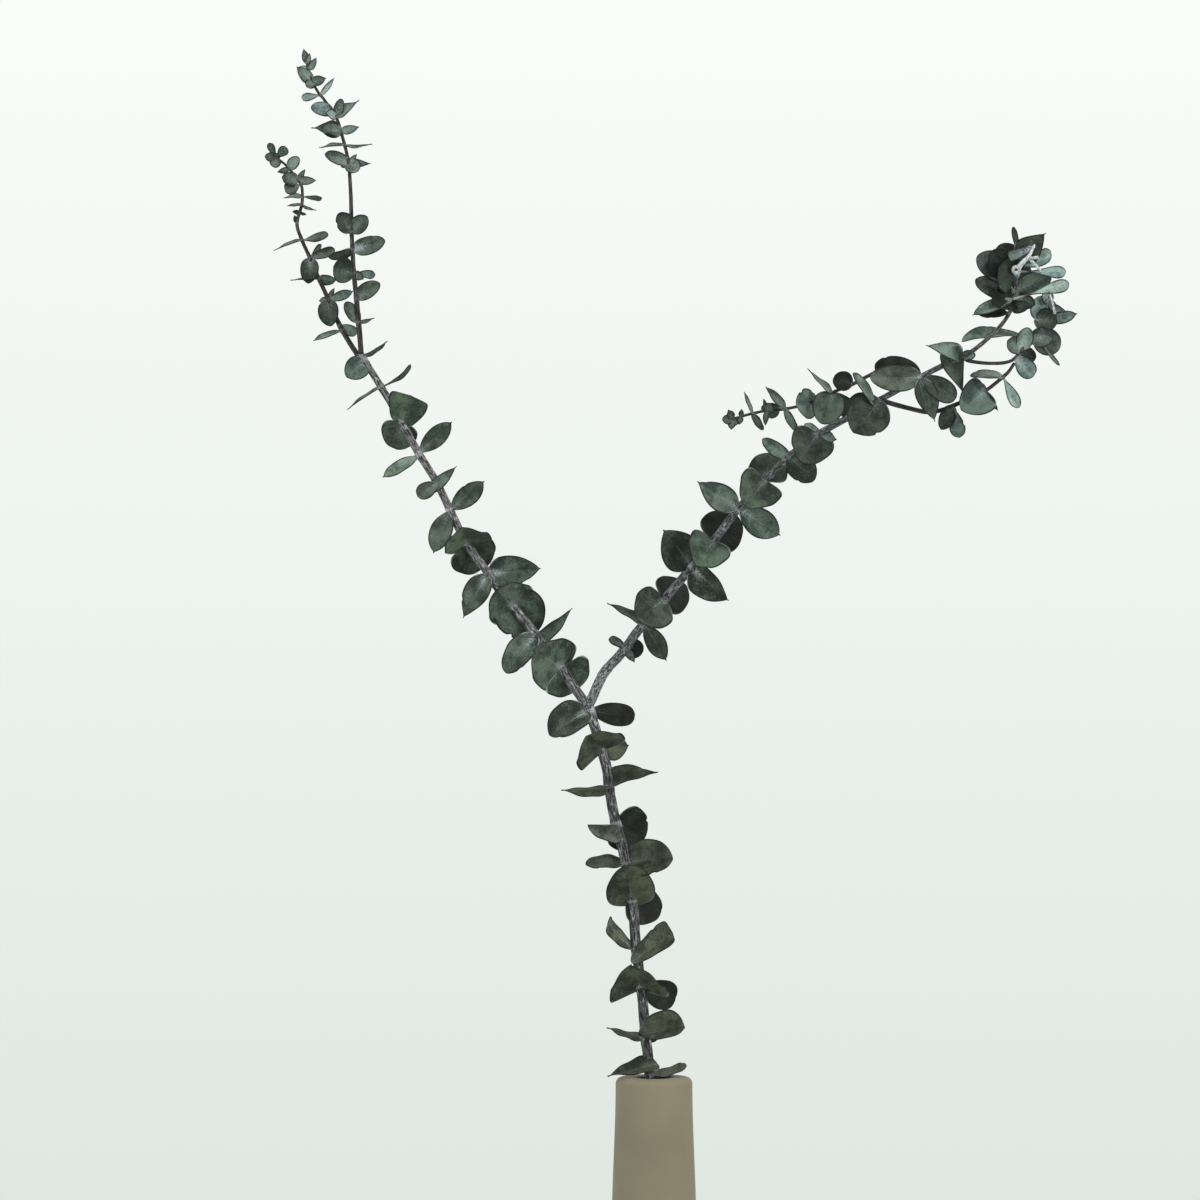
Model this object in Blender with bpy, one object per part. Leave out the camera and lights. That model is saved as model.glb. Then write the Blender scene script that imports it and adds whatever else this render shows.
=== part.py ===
"""A eucalyptus branch standing in a ceramic bottle.

The origin is the middle of the bottle's foot, +Z is up and the branch is seen from -Y.
Sizes below are in millimetres and the meshes are in metres.
"""

import math

import bmesh
import bpy
from mathutils import Matrix, Vector

MM = 0.001

# The bottle: a slim neck with a nearly flat top, a round shoulder and a wide foot.
BOTTLE_HEIGHT = 225.0
TOP_RADIUS = 19.2
TOP_EDGE_ROUND = 3.2
NECK_RADIUS = 21.2
NECK_LENGTH = 78.0
BELLY_RADIUS = 43.0
BELLY_HEIGHT = 62.0
FOOT_RADIUS = 38.0
FOOT_CHAMFER = 1.5
WALL = 4.5
FLOOR_THICKNESS = 7.0
TOP_THICKNESS = 6.0
MOUTH_RADIUS = 9.0
MOUTH_LIP = 1.5
BOTTLE_SIDES = 30

# The branch is laid out as it is seen from in front, from the middle of the bottle's mouth:
# across to the right, depth away from the viewer and height above the mouth. A point further
# back is spread away from the line of sight, so that it is still seen in the same place.
SIGHT_DISTANCE = 2400.0
SIGHT_ACROSS = -27.0
SIGHT_HEIGHT = 238.5

BLADE_THICKNESS = 0.7
STALK_HALF_WIDTH = 0.75
LEAF_ROWS = 4
SMALL_LEAF = 14.0
SMALL_LEAF_ROWS = 3
TINY_LEAF = 5.5
TINY_LEAF_ROWS = 2
COLLAR_SWELL = 1.22
COLLAR_REACH = 1.8
STEM_SPAN = 16.0
THICK_STEM = 1.5

# Leaf outlines, as the powers of the distance from the root and from the tip.
OUTLINES = {
    "heart": (0.22, 0.50),
    "round": (0.45, 0.50),
    "blunt": (0.70, 0.40),
    "lance": (0.90, 0.70),
    "ovate": (0.50, 0.75),
    "wedge": (0.32, 1.00),
    "pointed": (0.75, 1.00),
    "spoon": (1.30, 0.50),
    "narrow": (0.70, 1.60),
}

# Each shoot has its route (across, depth, height), its radius at both ends and its leaves.
# Leaves stand at a point of the route (across, height). A leaf is given by where its tip lies
# from there (right, up, towards the viewer), its width, how far it is rolled about its midrib
# from facing the viewer, how far its halves are folded up, how far it bends over its length,
# all in degrees, how far it reaches behind its root, and its outline.
SHOOTS = {
    "main_stem": {
        "route": [
            (19.0, -12.0, -219.2), (8.6, -3.5, -108.0), (-2.0, 5.4, 1.0), (-4.0, 7.0, 18.5),
            (-5.8, 8.6, 38.5), (-9.0, 11.0, 66.0), (-10.5, 12.4, 83.5), (-15.0, 15.0, 111.0),
            (-19.5, 16.6, 128.5), (-22.5, 18.0, 145.0), (-24.0, 19.0, 156.0),
            (-29.2, 20.6, 173.5), (-33.5, 21.8, 187.8),
        ],
        "radius": (2.75, 2.6),
        "leaves": [
            ((-2.0, 4.7), (-20.4, -4.0, 9), 15, 61, 6, 4, 4.5, "wedge"),
            ((-2.0, 2.2), (18.2, 3.2, 3), 11.5, -72, 8, -38, 0, "blunt"),
            ((-4.5, 20.0), (-18.3, 4.4, 3), 14, -68, 6, 0, 0, "wedge"),
            ((-4.5, 22.0), (19.8, 2.8, 9), 20, -36, 36, 14, 4, "blunt"),
            ((-4.0, 20.5), (5.5, -1.5, -2), 5, 0, 0, 0, 0, "round"),
            ((-6.5, 44.0), (-5.0, 10.8, 20), 29, 6, 2, 10, 3, "heart"),
            ((-6.5, 44.0), (17.2, -4.2, -12), 15.5, 0, 8, 0, 0, "blunt"),
            ((-8.5, 64.0), (-14.6, 13.0, 6), 12.5, 56, 0, -45, 0, "blunt"),
            ((-8.5, 60.5), (17.6, 11.8, 8), 15.5, -40, 10, 10, 4, "blunt"),
            ((-10.5, 87.5), (-3.0, 18.0, 14), 25, 4, -6, 12, 2.5, "heart"),
            ((-10.5, 87.5), (14.0, -3.6, -12), 21, -12, 8, 0, 4, "heart"),
            ((-13.5, 106.5), (-20.6, -0.2, 2), 12, 60, 6, 8, 0, "round"),
            ((-13.5, 106.5), (22.8, 2.8, 6), 22, -30, 20, 10, 0, "round"),
            ((-18.0, 127.0), (-2.5, -8.4, 12), 29, -26, -34, 8, 0.5, "ovate"),
            ((-18.0, 127.0), (14.5, -9.5, -13), 20.5, 0, 8, 0, 1, "heart"),
            ((-22.5, 145.0), (-23.0, -1.5, 3), 13, -62, 12, 10, 0, "wedge"),
            ((-22.5, 145.0), (23.6, 7.2, 4), 17, -44, 42, 8, 0, "wedge"),
            ((-25.5, 165.5), (-11.8, -1.8, 11), 17.5, 0, -6, 14, 5, "round"),
            ((-25.5, 165.0), (11.8, 1.8, -11), 15, 0, 8, 0, 0, "heart"),
            ((-32.0, 183.5), (-20.0, -12.8, 6), 20, 25, 25, 14, 0, "round"),
            ((-32.0, 183.5), (22.2, -3.4, -3), 12.5, -18, 10, -14, 0, "blunt"),
        ],
    },
    "left_limb": {
        "route": [
            (-35.3, 22.5, 188.4), (-39.8, 24.0, 194.7), (-46.5, 27.0, 204.5),
            (-59.0, 31.0, 221.0), (-70.0, 34.5, 235.0), (-78.5, 37.0, 244.8),
            (-82.8, 38.5, 251.8), (-93.5, 42.0, 266.5), (-102.0, 45.0, 283.5),
            (-109.0, 47.5, 298.0), (-117.8, 50.0, 312.0), (-126.0, 52.5, 327.5),
            (-136.5, 55.5, 345.0), (-147.0, 58.2, 361.8),
        ],
        "radius": (2.4, 1.75),
        "leaves": [
            ((-46.0, 204.2), (-12.0, 9.8, 14), 28.5, 0, -6, 10, 4, "heart"),
            ((-46.0, 204.2), (7.4, -9.6, -16), 24, 0, 8, 0, 0, "heart"),
            ((-59.0, 220.5), (17.5, 13.2, 3), 12.5, 42, 42, 0, 0, "wedge"),
            ((-59.0, 220.5), (-15.0, -18.4, 4), 16, 22, 22, 14, 0, "round"),
            ((-70.0, 235.5), (-8.4, 8.4, 17), 27.5, 0, -6, 10, 4.5, "heart"),
            ((-70.0, 235.5), (8.8, -13.0, -15), 26, 0, 8, 0, 0, "heart"),
            ((-82.5, 252.0), (25.0, 2.2, 6), 16.5, -8, 12, 12, 0, "ovate"),
            ((-82.5, 252.0), (-12.6, -21.8, 5), 14.5, 14, 20, 12, 0, "pointed"),
            ((-93.5, 266.5), (-2.8, 5.8, 22), 24, 0, 6, 8, 2, "heart"),
            ((-93.5, 266.5), (6.5, -13.0, -13), 23, 0, 8, 0, 0, "heart"),
            ((-102.0, 283.0), (16.5, 14.4, 4), 10.8, 8, 12, 10, 0, "lance"),
            ((-102.0, 283.0), (-8.0, -20.3, 4), 12.5, 10, 20, 10, 0, "lance"),
            ((-108.5, 296.0), (8.4, 9.2, 10), 6.5, 0, 8, 0, 0, "wedge"),
            ((-108.5, 296.0), (-9.5, -6.0, 4), 9, 10, 16, 0, 0, "blunt"),
            ((-117.5, 312.0), (15.8, 15.0, 3), 10.2, 5, 10, 8, 0, "lance"),
            ((-117.0, 311.0), (-18.0, -10.8, 3), 8, 34, 12, 8, 0, "lance"),
            ((-125.5, 327.5), (-2.8, 14.0, 13), 22, 12, -6, 10, 2, "heart"),
            ((-125.5, 327.5), (-3.0, -13.2, -10), 18, 0, 8, 0, 0, "heart"),
            ((-136.5, 345.0), (14.6, 11.2, 3), 9, 80, 4, 34, 0, "spoon"),
            ((-136.9, 344.0), (-15.8, -9.8, 3), 9.5, 80, 4, 8, 0, "ovate"),
            ((-144.5, 357.5), (-9.4, -7.4, 8), 12.5, 0, 10, 10, 0, "round"),
            ((-146.0, 360.5), (12.0, 7.0, 2), 8, 80, 4, 16, 0, "ovate"),
            ((-145.0, 358.5), (-8.4, -1.0, 2), 5, 30, 6, 0, 0, "ovate"),
        ],
    },
    "left_outer_twig": {
        "route": [
            (-148.6, 59.5, 361.6), (-156.5, 62.5, 374.5), (-162.7, 65.5, 388.5),
            (-167.5, 67.5, 399.0), (-172.0, 69.5, 409.5), (-176.0, 71.0, 418.5),
            (-178.5, 72.0, 426.5), (-176.2, 72.5, 435.7), (-175.8, 72.8, 440.0),
            (-176.2, 73.0, 445.5), (-178.5, 73.2, 449.0), (-182.7, 73.5, 454.5),
            (-186.0, 73.8, 457.5), (-189.5, 74.0, 459.8),
        ],
        "radius": (1.4, 0.6),
        "leaves": [
            ((-156.0, 373.2), (-13.6, -4.8, 2), 6.5, 60, 8, 6, 0, "lance"),
            ((-157.0, 375.2), (8.6, -3.2, 1), 6, 10, 8, 0, 0, "blunt"),
            ((-162.5, 388.6), (11.6, 4.2, 2), 5.5, 20, 8, 24, 0, "lance"),
            ((-162.5, 389.0), (0.5, -13.6, 7), 11, 0, 14, 12, 0, "round"),
            ((-162.5, 389.0), (2.5, 5.2, -2), 3, 30, 0, 0, 0, "ovate"),
            ((-162.5, 389.0), (-4.8, -1.0, 1), 4, 20, 0, 0, 0, "ovate"),
            ((-167.5, 399.0), (-13.5, -0.5, 2), 8, 78, 4, 6, 0, "narrow"),
            ((-167.5, 399.0), (8.5, -0.5, 2), 7, 42, 6, 0, 0, "ovate"),
            ((-172.0, 409.5), (12.2, 4.6, 2), 5.5, 20, 8, 10, 0, "blunt"),
            ((-172.0, 409.5), (5.5, 7.0, 1), 3, 40, 0, 0, 0, "spoon"),
            ((-172.0, 409.5), (-0.8, -12.6, 6), 9.8, 0, 12, 10, 0, "round"),
            ((-176.0, 418.5), (-13.5, -5.0, 2), 8, 74, 4, 10, 0, "narrow"),
            ((-176.0, 418.5), (13.0, 2.2, 4), 8, -48, 8, -10, 0, "spoon"),
            ((-178.0, 427.0), (-1.8, 3.6, 1), 3, 30, 0, 0, 0, "ovate"),
            ((-177.0, 432.5), (-3.6, 0.2, 1), 2.6, 20, 0, 0, 0, "ovate"),
            ((-177.0, 432.5), (3.0, -1.2, 1), 2.6, 60, 0, 0, 0, "ovate"),
            ((-176.0, 436.0), (-7.0, -0.4, 1), 5, 70, 4, 0, 0, "ovate"),
            ((-176.0, 436.0), (6.8, -2.6, 1), 5, 76, 4, 10, 0, "narrow"),
            ((-175.8, 440.0), (-9.0, -0.4, 2), 8, 66, 8, 10, 0, "narrow"),
            ((-175.8, 440.0), (9.6, -0.3, 2), 6, 70, 8, -8, 0, "spoon"),
            ((-177.0, 446.2), (-7.4, -3.4, 3), 7.5, 10, 12, 0, 0, "spoon"),
            ((-178.0, 448.5), (8.8, -0.2, 3), 4.6, 10, 8, 8, 0, "ovate"),
            ((-178.0, 448.5), (-8.0, 1.2, 4), 7.6, 0, 12, 10, 0, "round"),
            ((-178.0, 448.5), (3.4, 5.0, 1), 3, 20, 0, 0, 0, "ovate"),
            ((-182.5, 454.3), (4.8, 5.6, 3), 6.2, 0, 8, 6, 0, "round"),
            ((-182.5, 454.3), (-5.6, -1.8, 1), 3.4, 10, 0, 0, 0, "ovate"),
            ((-189.0, 459.6), (-3.6, 7.4, 2), 4, 0, 8, 0, 0, "spoon"),
            ((-189.0, 459.6), (5.4, 5.0, 3), 5.6, 10, 8, 0, 0, "spoon"),
            ((-189.0, 459.6), (-5.6, 0.6, 3), 5, 0, 8, 0, 0, "round"),
            ((-189.0, 459.6), (-0.2, -5.0, 3), 6, 0, 8, 0, 0, "round"),
            ((-189.0, 459.6), (0.6, 2.2, 4), 4, 0, 8, 0, 0, "round"),
        ],
    },
    "left_inner_twig": {
        "route": [
            (-146.6, 57.2, 363.5), (-147.7, 54.5, 377.5), (-148.8, 52.0, 389.5),
            (-150.1, 50.0, 402.0), (-150.8, 48.0, 414.0), (-151.2, 47.0, 422.5),
            (-151.5, 45.0, 438.5), (-152.2, 44.0, 451.5), (-152.6, 43.5, 457.0),
            (-155.5, 43.0, 469.0), (-159.0, 42.5, 480.0), (-165.2, 42.0, 489.0),
            (-167.6, 42.0, 491.8), (-170.7, 42.0, 497.5), (-172.5, 42.0, 503.0),
            (-174.0, 42.0, 508.0),
        ],
        "radius": (1.45, 0.6),
        "leaves": [
            ((-147.6, 377.0), (-6.8, 10.2, 3), 8, 28, 10, 0, 0, "round"),
            ((-147.6, 377.0), (7.5, 2.4, 2), 5, 70, 4, 0, 0, "narrow"),
            ((-148.8, 389.5), (11.6, 7.4, 4), 8.6, 4, 10, 10, 0, "round"),
            ((-150.0, 402.0), (-10.2, 3.0, 7), 13.5, 0, 8, 12, 1, "blunt"),
            ((-150.0, 402.0), (4.6, -3.0, 2), 5, 20, 6, 0, 0, "ovate"),
            ((-150.0, 402.0), (10.6, -1.0, 0), 5, 26, 6, 0, 0, "spoon"),
            ((-150.8, 414.0), (16.2, 4.2, 4), 9.8, -8, 10, 10, 0, "round"),
            ((-150.8, 414.0), (-11.8, -4.2, -4), 9, -62, 10, 0, 0, "round"),
            ((-151.1, 422.5), (-6.4, 9.4, 4), 9.8, 0, 10, 8, 0, "round"),
            ((-151.1, 422.5), (7.8, 7.6, 4), 9.2, 0, 10, 8, 0, "round"),
            ((-152.5, 457.0), (-11.9, 4.8, 4), 6.6, 0, 6, -10, 0, "round"),
            ((-152.5, 457.0), (4.6, -4.2, 4), 8.4, -10, 8, 8, 0, "round"),
            ((-152.5, 457.0), (10.4, -0.4, 2), 5, 0, 8, 0, 0, "wedge"),
            ((-152.5, 457.0), (3.8, 4.2, 1), 2.8, 20, 0, 0, 0, "ovate"),
            ((-152.5, 457.0), (-4.2, -1.0, -2), 5, 20, 6, 0, 0, "round"),
            ((-154.6, 465.5), (-12.4, -0.8, 2), 9, 74, 6, 8, 0, "narrow"),
            ((-154.6, 465.5), (13.0, 0.8, 2), 7, 84, 6, 6, 0, "narrow"),
            ((-156.5, 472.5), (-14.0, 2.0, 3), 12, 44, 10, 18, 0, "narrow"),
            ((-156.5, 472.5), (-9.4, 1.6, 6), 8, 0, 10, 8, 0, "round"),
            ((-156.5, 472.5), (8.6, 2.4, 2), 5, 28, 8, 8, 0, "ovate"),
            ((-156.5, 472.5), (-2.8, -2.6, 1), 3, 20, 0, 0, 0, "round"),
            ((-160.0, 482.6), (-11.4, 2.2, 3), 8, 20, 10, 20, 0, "round"),
            ((-158.6, 480.0), (10.6, 8.0, 3), 7.5, -30, 14, -10, 0, "narrow"),
            ((-158.6, 480.0), (2.4, 9.0, 3), 5.4, 0, 8, 0, 0, "round"),
            ((-158.6, 480.0), (-5.0, 2.4, 6), 5, 20, 8, 0, 0, "round"),
            ((-167.0, 490.8), (-9.2, -1.2, 1), 4.4, 0, 6, 0, 0, "spoon"),
            ((-167.0, 490.8), (6.8, 8.4, 1), 3.4, 40, 4, 20, 0, "ovate"),
            ((-170.7, 497.5), (-7.6, 7.2, 3), 7, 20, 10, -10, 0, "ovate"),
            ((-170.7, 497.5), (-2.8, -2.6, 4), 5.6, 0, 8, 0, 0, "round"),
            ((-170.7, 497.5), (6.4, 1.8, 3), 5.4, 10, 10, 0, 0, "ovate"),
            ((-172.6, 503.5), (3.6, 5.8, 1), 4, 30, 8, -10, 0, "ovate"),
            ((-172.6, 503.5), (-4.4, 1.8, 1), 3, 20, 0, 0, 0, "ovate"),
            ((-173.6, 506.5), (-1.6, 7.4, 0), 4, 0, 10, 0, 0, "pointed"),
            ((-173.6, 506.5), (1.4, 5.2, 2), 3, 30, 8, 0, 0, "ovate"),
        ],
    },
    "right_limb": {
        "route": [
            (-31.0, 20.8, 189.4), (-27.4, 18.0, 197.6), (-23.8, 15.5, 203.6),
            (-15.4, 11.0, 212.9), (-8.7, 7.0, 222.2), (-5.0, 5.0, 226.5), (5.0, 0.0, 238.5),
            (15.0, -4.5, 250.5), (19.0, -6.5, 255.0), (29.5, -11.5, 267.5),
            (42.3, -18.0, 284.2), (55.5, -24.0, 298.2), (67.5, -29.0, 310.2),
            (81.5, -34.0, 321.0), (94.0, -38.0, 328.0), (113.0, -43.0, 338.5),
            (130.5, -47.0, 348.5), (144.5, -49.5, 355.8), (155.0, -51.0, 360.4),
        ],
        "radius": (2.6, 1.3),
        "leaves": [
            ((-14.5, 215.0), (-7.8, 3.4, 1), 6.5, 46, 8, 0, 0, "round"),
            ((-14.5, 215.0), (8.8, -2.2, 0), 8.5, 0, 8, 0, 0, "round"),
            ((-14.5, 215.0), (4.6, -7.4, 2), 4.6, 0, 6, 0, 0, "ovate"),
            ((-4.8, 226.5), (-17.8, 10.0, 1), 10, 62, 8, 0, 0, "wedge"),
            ((-4.8, 226.5), (10.6, -17.6, 2), 10.5, 10, 14, 8, 0, "lance"),
            ((4.5, 238.5), (-12.2, -9.4, 15), 22.5, 0, 6, 14, 2, "heart"),
            ((4.5, 238.5), (11.4, 8.0, -15), 21, 0, -8, 0, 0, "heart"),
            ((19.0, 255.0), (-13.8, 17.9, 5), 19, 0, 12, 10, 0, "round"),
            ((19.0, 255.0), (17.6, -16.2, 5), 17.4, 28, 24, 8, 0, "round"),
            ((29.5, 267.5), (-8.1, -12.2, 15), 22.5, 0, 6, 14, 1, "heart"),
            ((29.5, 267.5), (12.2, 12.8, -14), 23, 0, -8, 0, 0, "heart"),
            ((42.5, 284.5), (-20.2, 12.8, 4), 14, 0, 14, 8, 0, "pointed"),
            ((42.5, 284.5), (20.0, -13.2, 4), 15, 0, 14, 8, 0, "lance"),
            ((55.5, 298.2), (-9.6, -12.6, 15), 22.5, 0, 6, 14, 0.5, "heart"),
            ((55.5, 298.2), (3.4, 13.6, -13), 20, 0, -8, 0, 0, "heart"),
            ((67.8, 310.5), (-13.4, 8.6, 3), 7.5, -14, 14, 8, 0, "round"),
            ((67.8, 310.5), (12.0, -12.4, 4), 14.5, -10, 14, 8, 0, "round"),
            ((82.0, 321.0), (-8.4, -13.6, 14), 22, 0, 6, 14, 1, "heart"),
            ((82.0, 321.0), (8.8, -2.2, 2), 7.6, 0, 8, 0, 0, "ovate"),
            ((82.0, 321.0), (-6.0, 5.8, -4), 7, 46, 8, 0, 0, "round"),
            ((113.0, 338.0), (-13.2, -15.8, 12), 22, 0, 12, 14, 0, "round"),
            ((110.0, 337.0), (-10.5, 14.0, 5), 9.5, 50, 10, 0, 0, "round"),
            ((110.0, 337.0), (-13.5, -2.6, 3), 12, 10, 12, 10, 0, "round"),
            ((110.0, 337.0), (-10.0, -9.5, 1), 7, 10, 8, 0, 0, "round"),
            ((132.0, 350.8), (-22.4, -5.4, 7), 24.5, 32, 32, 20, 0, "round"),
            ((132.0, 350.8), (18.6, -11.8, 5), 11.5, 0, 12, 8, 0, "blunt"),
            ((132.0, 350.8), (8.2, -22.3, 4), 11.5, 0, 14, 8, 0, "pointed"),
            ((154.0, 360.0), (-17.2, 5.6, 4), 11, 35, 10, 16, 0, "wedge"),
            ((151.5, 359.0), (0.4, -15.8, 3), 18, 36, 37, -8, 6, "wedge"),
            ((154.0, 360.0), (6.6, 1.6, 3), 5.4, 10, 8, 0, 0, "round"),
        ],
    },
    "back_twig": {
        "route": [
            (131.2, -45.2, 350.9), (123.0, -40.5, 354.8), (116.0, -37.0, 354.5),
            (107.0, -33.0, 350.5), (98.5, -28.0, 346.0), (89.0, -23.5, 342.2),
            (78.0, -19.0, 337.0), (65.5, -15.0, 334.0), (56.5, -12.5, 333.2),
            (49.3, -10.5, 331.8), (43.4, -9.0, 330.2), (38.5, -8.0, 328.8),
        ],
        "radius": (1.0, 0.65),
        "leaves": [
            ((99.5, 346.4), (-9.6, 3.2, -3), 10, 0, 8, 0, 0, "round"),
            ((89.0, 342.2), (-11.6, 11.4, 1), 7, 62, 8, -14, 0, "narrow"),
            ((89.0, 342.2), (-4.8, -15.6, 6), 16.5, 0, 12, 12, 0, "round"),
            ((89.0, 342.2), (11.5, -12.0, -7), 9.5, 0, 8, 0, 0, "blunt"),
            ((78.0, 337.0), (-6.8, -0.8, 8), 15.5, 0, 6, 6, 3, "round"),
            ((78.0, 337.0), (-1.5, 5.5, -4), 7, 10, 8, 0, 0, "round"),
            ((65.5, 334.0), (-9.2, 10.6, 2), 7, 48, 8, -10, 0, "ovate"),
            ((65.5, 334.0), (6.2, -10.8, 2), 6, 50, 8, -10, 0, "round"),
            ((56.5, 333.2), (1.6, 3.6, 6), 7, 0, 8, 0, 1, "heart"),
            ((56.5, 333.2), (6.2, 0.2, -4), 8, 0, 8, 0, 0, "heart"),
            ((56.5, 333.2), (-1.6, 5.6, 1), 3.4, 50, 0, 0, 0, "ovate"),
            ((56.5, 333.2), (-0.8, -7.2, 1), 3.4, 30, 0, 0, 0, "ovate"),
            ((49.3, 331.8), (-4.0, 10.2, 1), 5, 66, 6, -10, 0, "ovate"),
            ((49.3, 331.8), (5.4, -8.2, 1), 6, 56, 8, -24, 0, "round"),
            ((43.4, 330.2), (0.4, 3.6, 1), 2.8, 20, 0, 0, 0, "ovate"),
            ((43.4, 330.2), (-0.8, -3.8, 1), 3.4, 20, 0, 0, 0, "ovate"),
            ((39.0, 329.0), (-4.8, -0.6, 3), 5, 0, 8, 0, 0, "round"),
            ((39.0, 329.0), (-1.8, 4.4, 2), 4.4, 20, 8, 0, 0, "ovate"),
            ((39.0, 329.0), (-0.4, -5.2, 2), 4.4, 0, 8, 0, 0, "ovate"),
            ((39.0, 329.0), (3.0, -2.6, 2), 4, 20, 8, 0, 0, "round"),
        ],
    },
    "lower_twig": {
        "route": [
            (115.8, -41.6, 337.6), (125.0, -40.0, 335.0), (135.5, -38.5, 332.6),
            (142.0, -39.0, 333.0), (149.5, -41.0, 335.6), (156.5, -43.0, 338.8),
            (165.5, -45.0, 343.0), (174.5, -47.0, 350.0), (177.6, -47.6, 353.0),
        ],
        "radius": (1.3, 0.8),
        "leaves": [
            ((149.5, 335.8), (-5.8, -12.0, 4), 8.2, 0, 10, 8, 0, "round"),
            ((149.5, 335.8), (3.4, -16.0, 5), 8, 10, 10, 8, 0, "spoon"),
            ((165.5, 343.0), (-11.9, -9.4, 9), 19, 0, 12, 12, 1, "heart"),
            ((165.5, 343.0), (6.2, -9.4, 1), 4.8, 46, 8, 0, 0, "ovate"),
            ((165.5, 343.0), (-6.0, 5.4, -3), 6, 60, 8, 0, 0, "ovate"),
            ((174.5, 350.0), (-16.4, 0.4, 2), 8, 56, 8, 30, 0, "round"),
            ((174.5, 350.0), (8.0, -15.2, 4), 6.2, 18, 12, 6, 0, "spoon"),
        ],
    },
    "outer_twig": {
        "route": [
            (156.8, -49.9, 358.2), (163.0, -47.5, 357.2), (169.0, -45.5, 356.8),
            (175.5, -44.0, 357.2), (180.0, -43.5, 359.0), (184.0, -43.5, 364.0),
            (188.0, -43.5, 369.0), (193.0, -43.5, 374.5), (197.0, -43.5, 382.5),
            (198.0, -43.5, 389.0),
        ],
        "radius": (0.95, 0.65),
        "leaves": [
            ((181.0, 360.0), (8.8, -9.4, 4), 11, 8, 10, 8, 0, "heart"),
            ((181.0, 360.0), (7.4, -3.0, -3), 5.6, 10, 8, 0, 0, "round"),
            ((184.0, 364.0), (-7.2, 4.4, 3), 9, 0, 10, 8, 0, "round"),
            ((184.0, 364.0), (0.4, 13.0, 0), 5, 10, 8, 0, 0, "ovate"),
            ((188.0, 369.0), (-34.0, -1.2, 1), 13, 58, 12, 40, 0, "lance"),
            ((188.0, 369.0), (7.4, 6.4, 6), 14.5, 0, -10, 8, 4, "round"),
            ((190.5, 371.8), (11.9, -8.2, -2), 13.5, 0, 8, 8, 0, "round"),
            ((190.5, 371.8), (12.2, -16.0, 0), 3.6, 40, 6, 12, 0, "spoon"),
            ((195.0, 378.5), (-1.0, 7.6, 4), 13.5, 0, -8, 8, 5.5, "round"),
            ((195.0, 378.5), (-6.6, 7.2, -4), 9, 20, 8, 0, 0, "round"),
            ((195.0, 378.5), (16.8, 1.6, 3), 5.6, 10, 12, -16, 0, "blunt"),
            ((197.6, 386.0), (9.0, -4.6, 1), 4.6, 20, 10, 10, 0, "ovate"),
            ((197.8, 388.0), (-6.4, -2.6, 3), 7, 10, 8, 8, 0, "round"),
            ((197.8, 388.0), (1.0, 4.2, 1), 3.2, 20, 8, 0, 0, "ovate"),
        ],
    },
    "top_spray": {
        "route": [
            (159.7, -53.2, 363.3), (165.0, -54.4, 367.6), (170.5, -55.5, 372.5),
            (175.5, -57.0, 378.5), (178.5, -58.0, 384.0), (180.5, -58.5, 392.0),
            (181.5, -58.5, 402.0), (183.0, -58.0, 410.0),
        ],
        "radius": (1.15, 0.8),
        "leaves": [
            ((177.5, 382.0), (-17.8, -1.0, 4), 11, 38, 22, 10, 0, "pointed"),
            ((178.5, 384.0), (9.0, 2.5, 8), 6.5, 10, 10, 10, 0, "round"),
            ((180.0, 390.0), (-19.6, 6.0, 4), 11, 0, 10, 8, 0, "round"),
            ((180.0, 390.0), (-11.0, -3.0, 9), 14, 10, 10, 8, 1, "heart"),
            ((180.0, 390.0), (17.5, -1.5, 4), 9, 20, 10, -8, 0, "round"),
            ((180.5, 393.0), (18.0, 7.0, 3), 11, -10, 14, 8, 0, "round"),
            ((181.2, 400.0), (-19.6, 10.2, 3), 15, 0, 10, 8, 0, "round"),
            ((181.2, 400.0), (-9.0, 3.0, 13), 18, 0, -8, 8, 1, "heart"),
            ((181.2, 400.0), (-8.5, 17.5, -2), 15, 0, 10, 8, 0, "round"),
            ((181.2, 400.0), (8.0, 1.0, -10), 16, 0, 8, 0, 0, "heart"),
            ((183.0, 410.0), (12.4, 11.8, 1), 12, 0, 14, 10, 0, "wedge"),
            ((182.4, 407.0), (4.5, 9.5, 7), 9, 10, 10, 0, 0, "round"),
            ((182.4, 407.0), (16.0, 5.0, -3), 9, 20, 8, 0, 0, "blunt"),
            ((182.8, 409.0), (-2.4, 16.0, 0), 3.8, 20, 8, 0, 0, "spoon"),
            ((181.6, 403.0), (24.0, -0.6, 5), 5.8, 12, 10, 6, 0, "spoon"),
            ((180.0, 389.0), (27.1, 6.6, 2), 5.8, 14, 10, -10, 0, "spoon"),
        ],
    },
}

SHOOT_COLOURS = {
    "main_stem": (0.075, 0.080, 0.055, 1.0),
    "left_limb": (0.070, 0.090, 0.060, 1.0),
    "left_outer_twig": (0.080, 0.110, 0.100, 1.0),
    "left_inner_twig": (0.085, 0.120, 0.100, 1.0),
    "right_limb": (0.065, 0.090, 0.065, 1.0),
    "back_twig": (0.085, 0.115, 0.095, 1.0),
    "lower_twig": (0.100, 0.150, 0.145, 1.0),
    "outer_twig": (0.160, 0.240, 0.230, 1.0),
    "top_spray": (0.070, 0.085, 0.070, 1.0),
}
BOTTLE_COLOUR = (0.270, 0.235, 0.165, 1.0)


def clear_scene():
    """Remove every object, so that the model starts from nothing."""
    for item in list(bpy.data.objects):
        bpy.data.objects.remove(item, do_unlink=True)


def finish(name, colour, roughness):
    """A plain dielectric finish for one sub-part."""
    material = bpy.data.materials.new(name)
    material.use_nodes = True
    shader = material.node_tree.nodes["Principled BSDF"]
    shader.inputs["Base Color"].default_value = colour
    shader.inputs["Roughness"].default_value = roughness
    shader.inputs["Metallic"].default_value = 0.0
    return material


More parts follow.
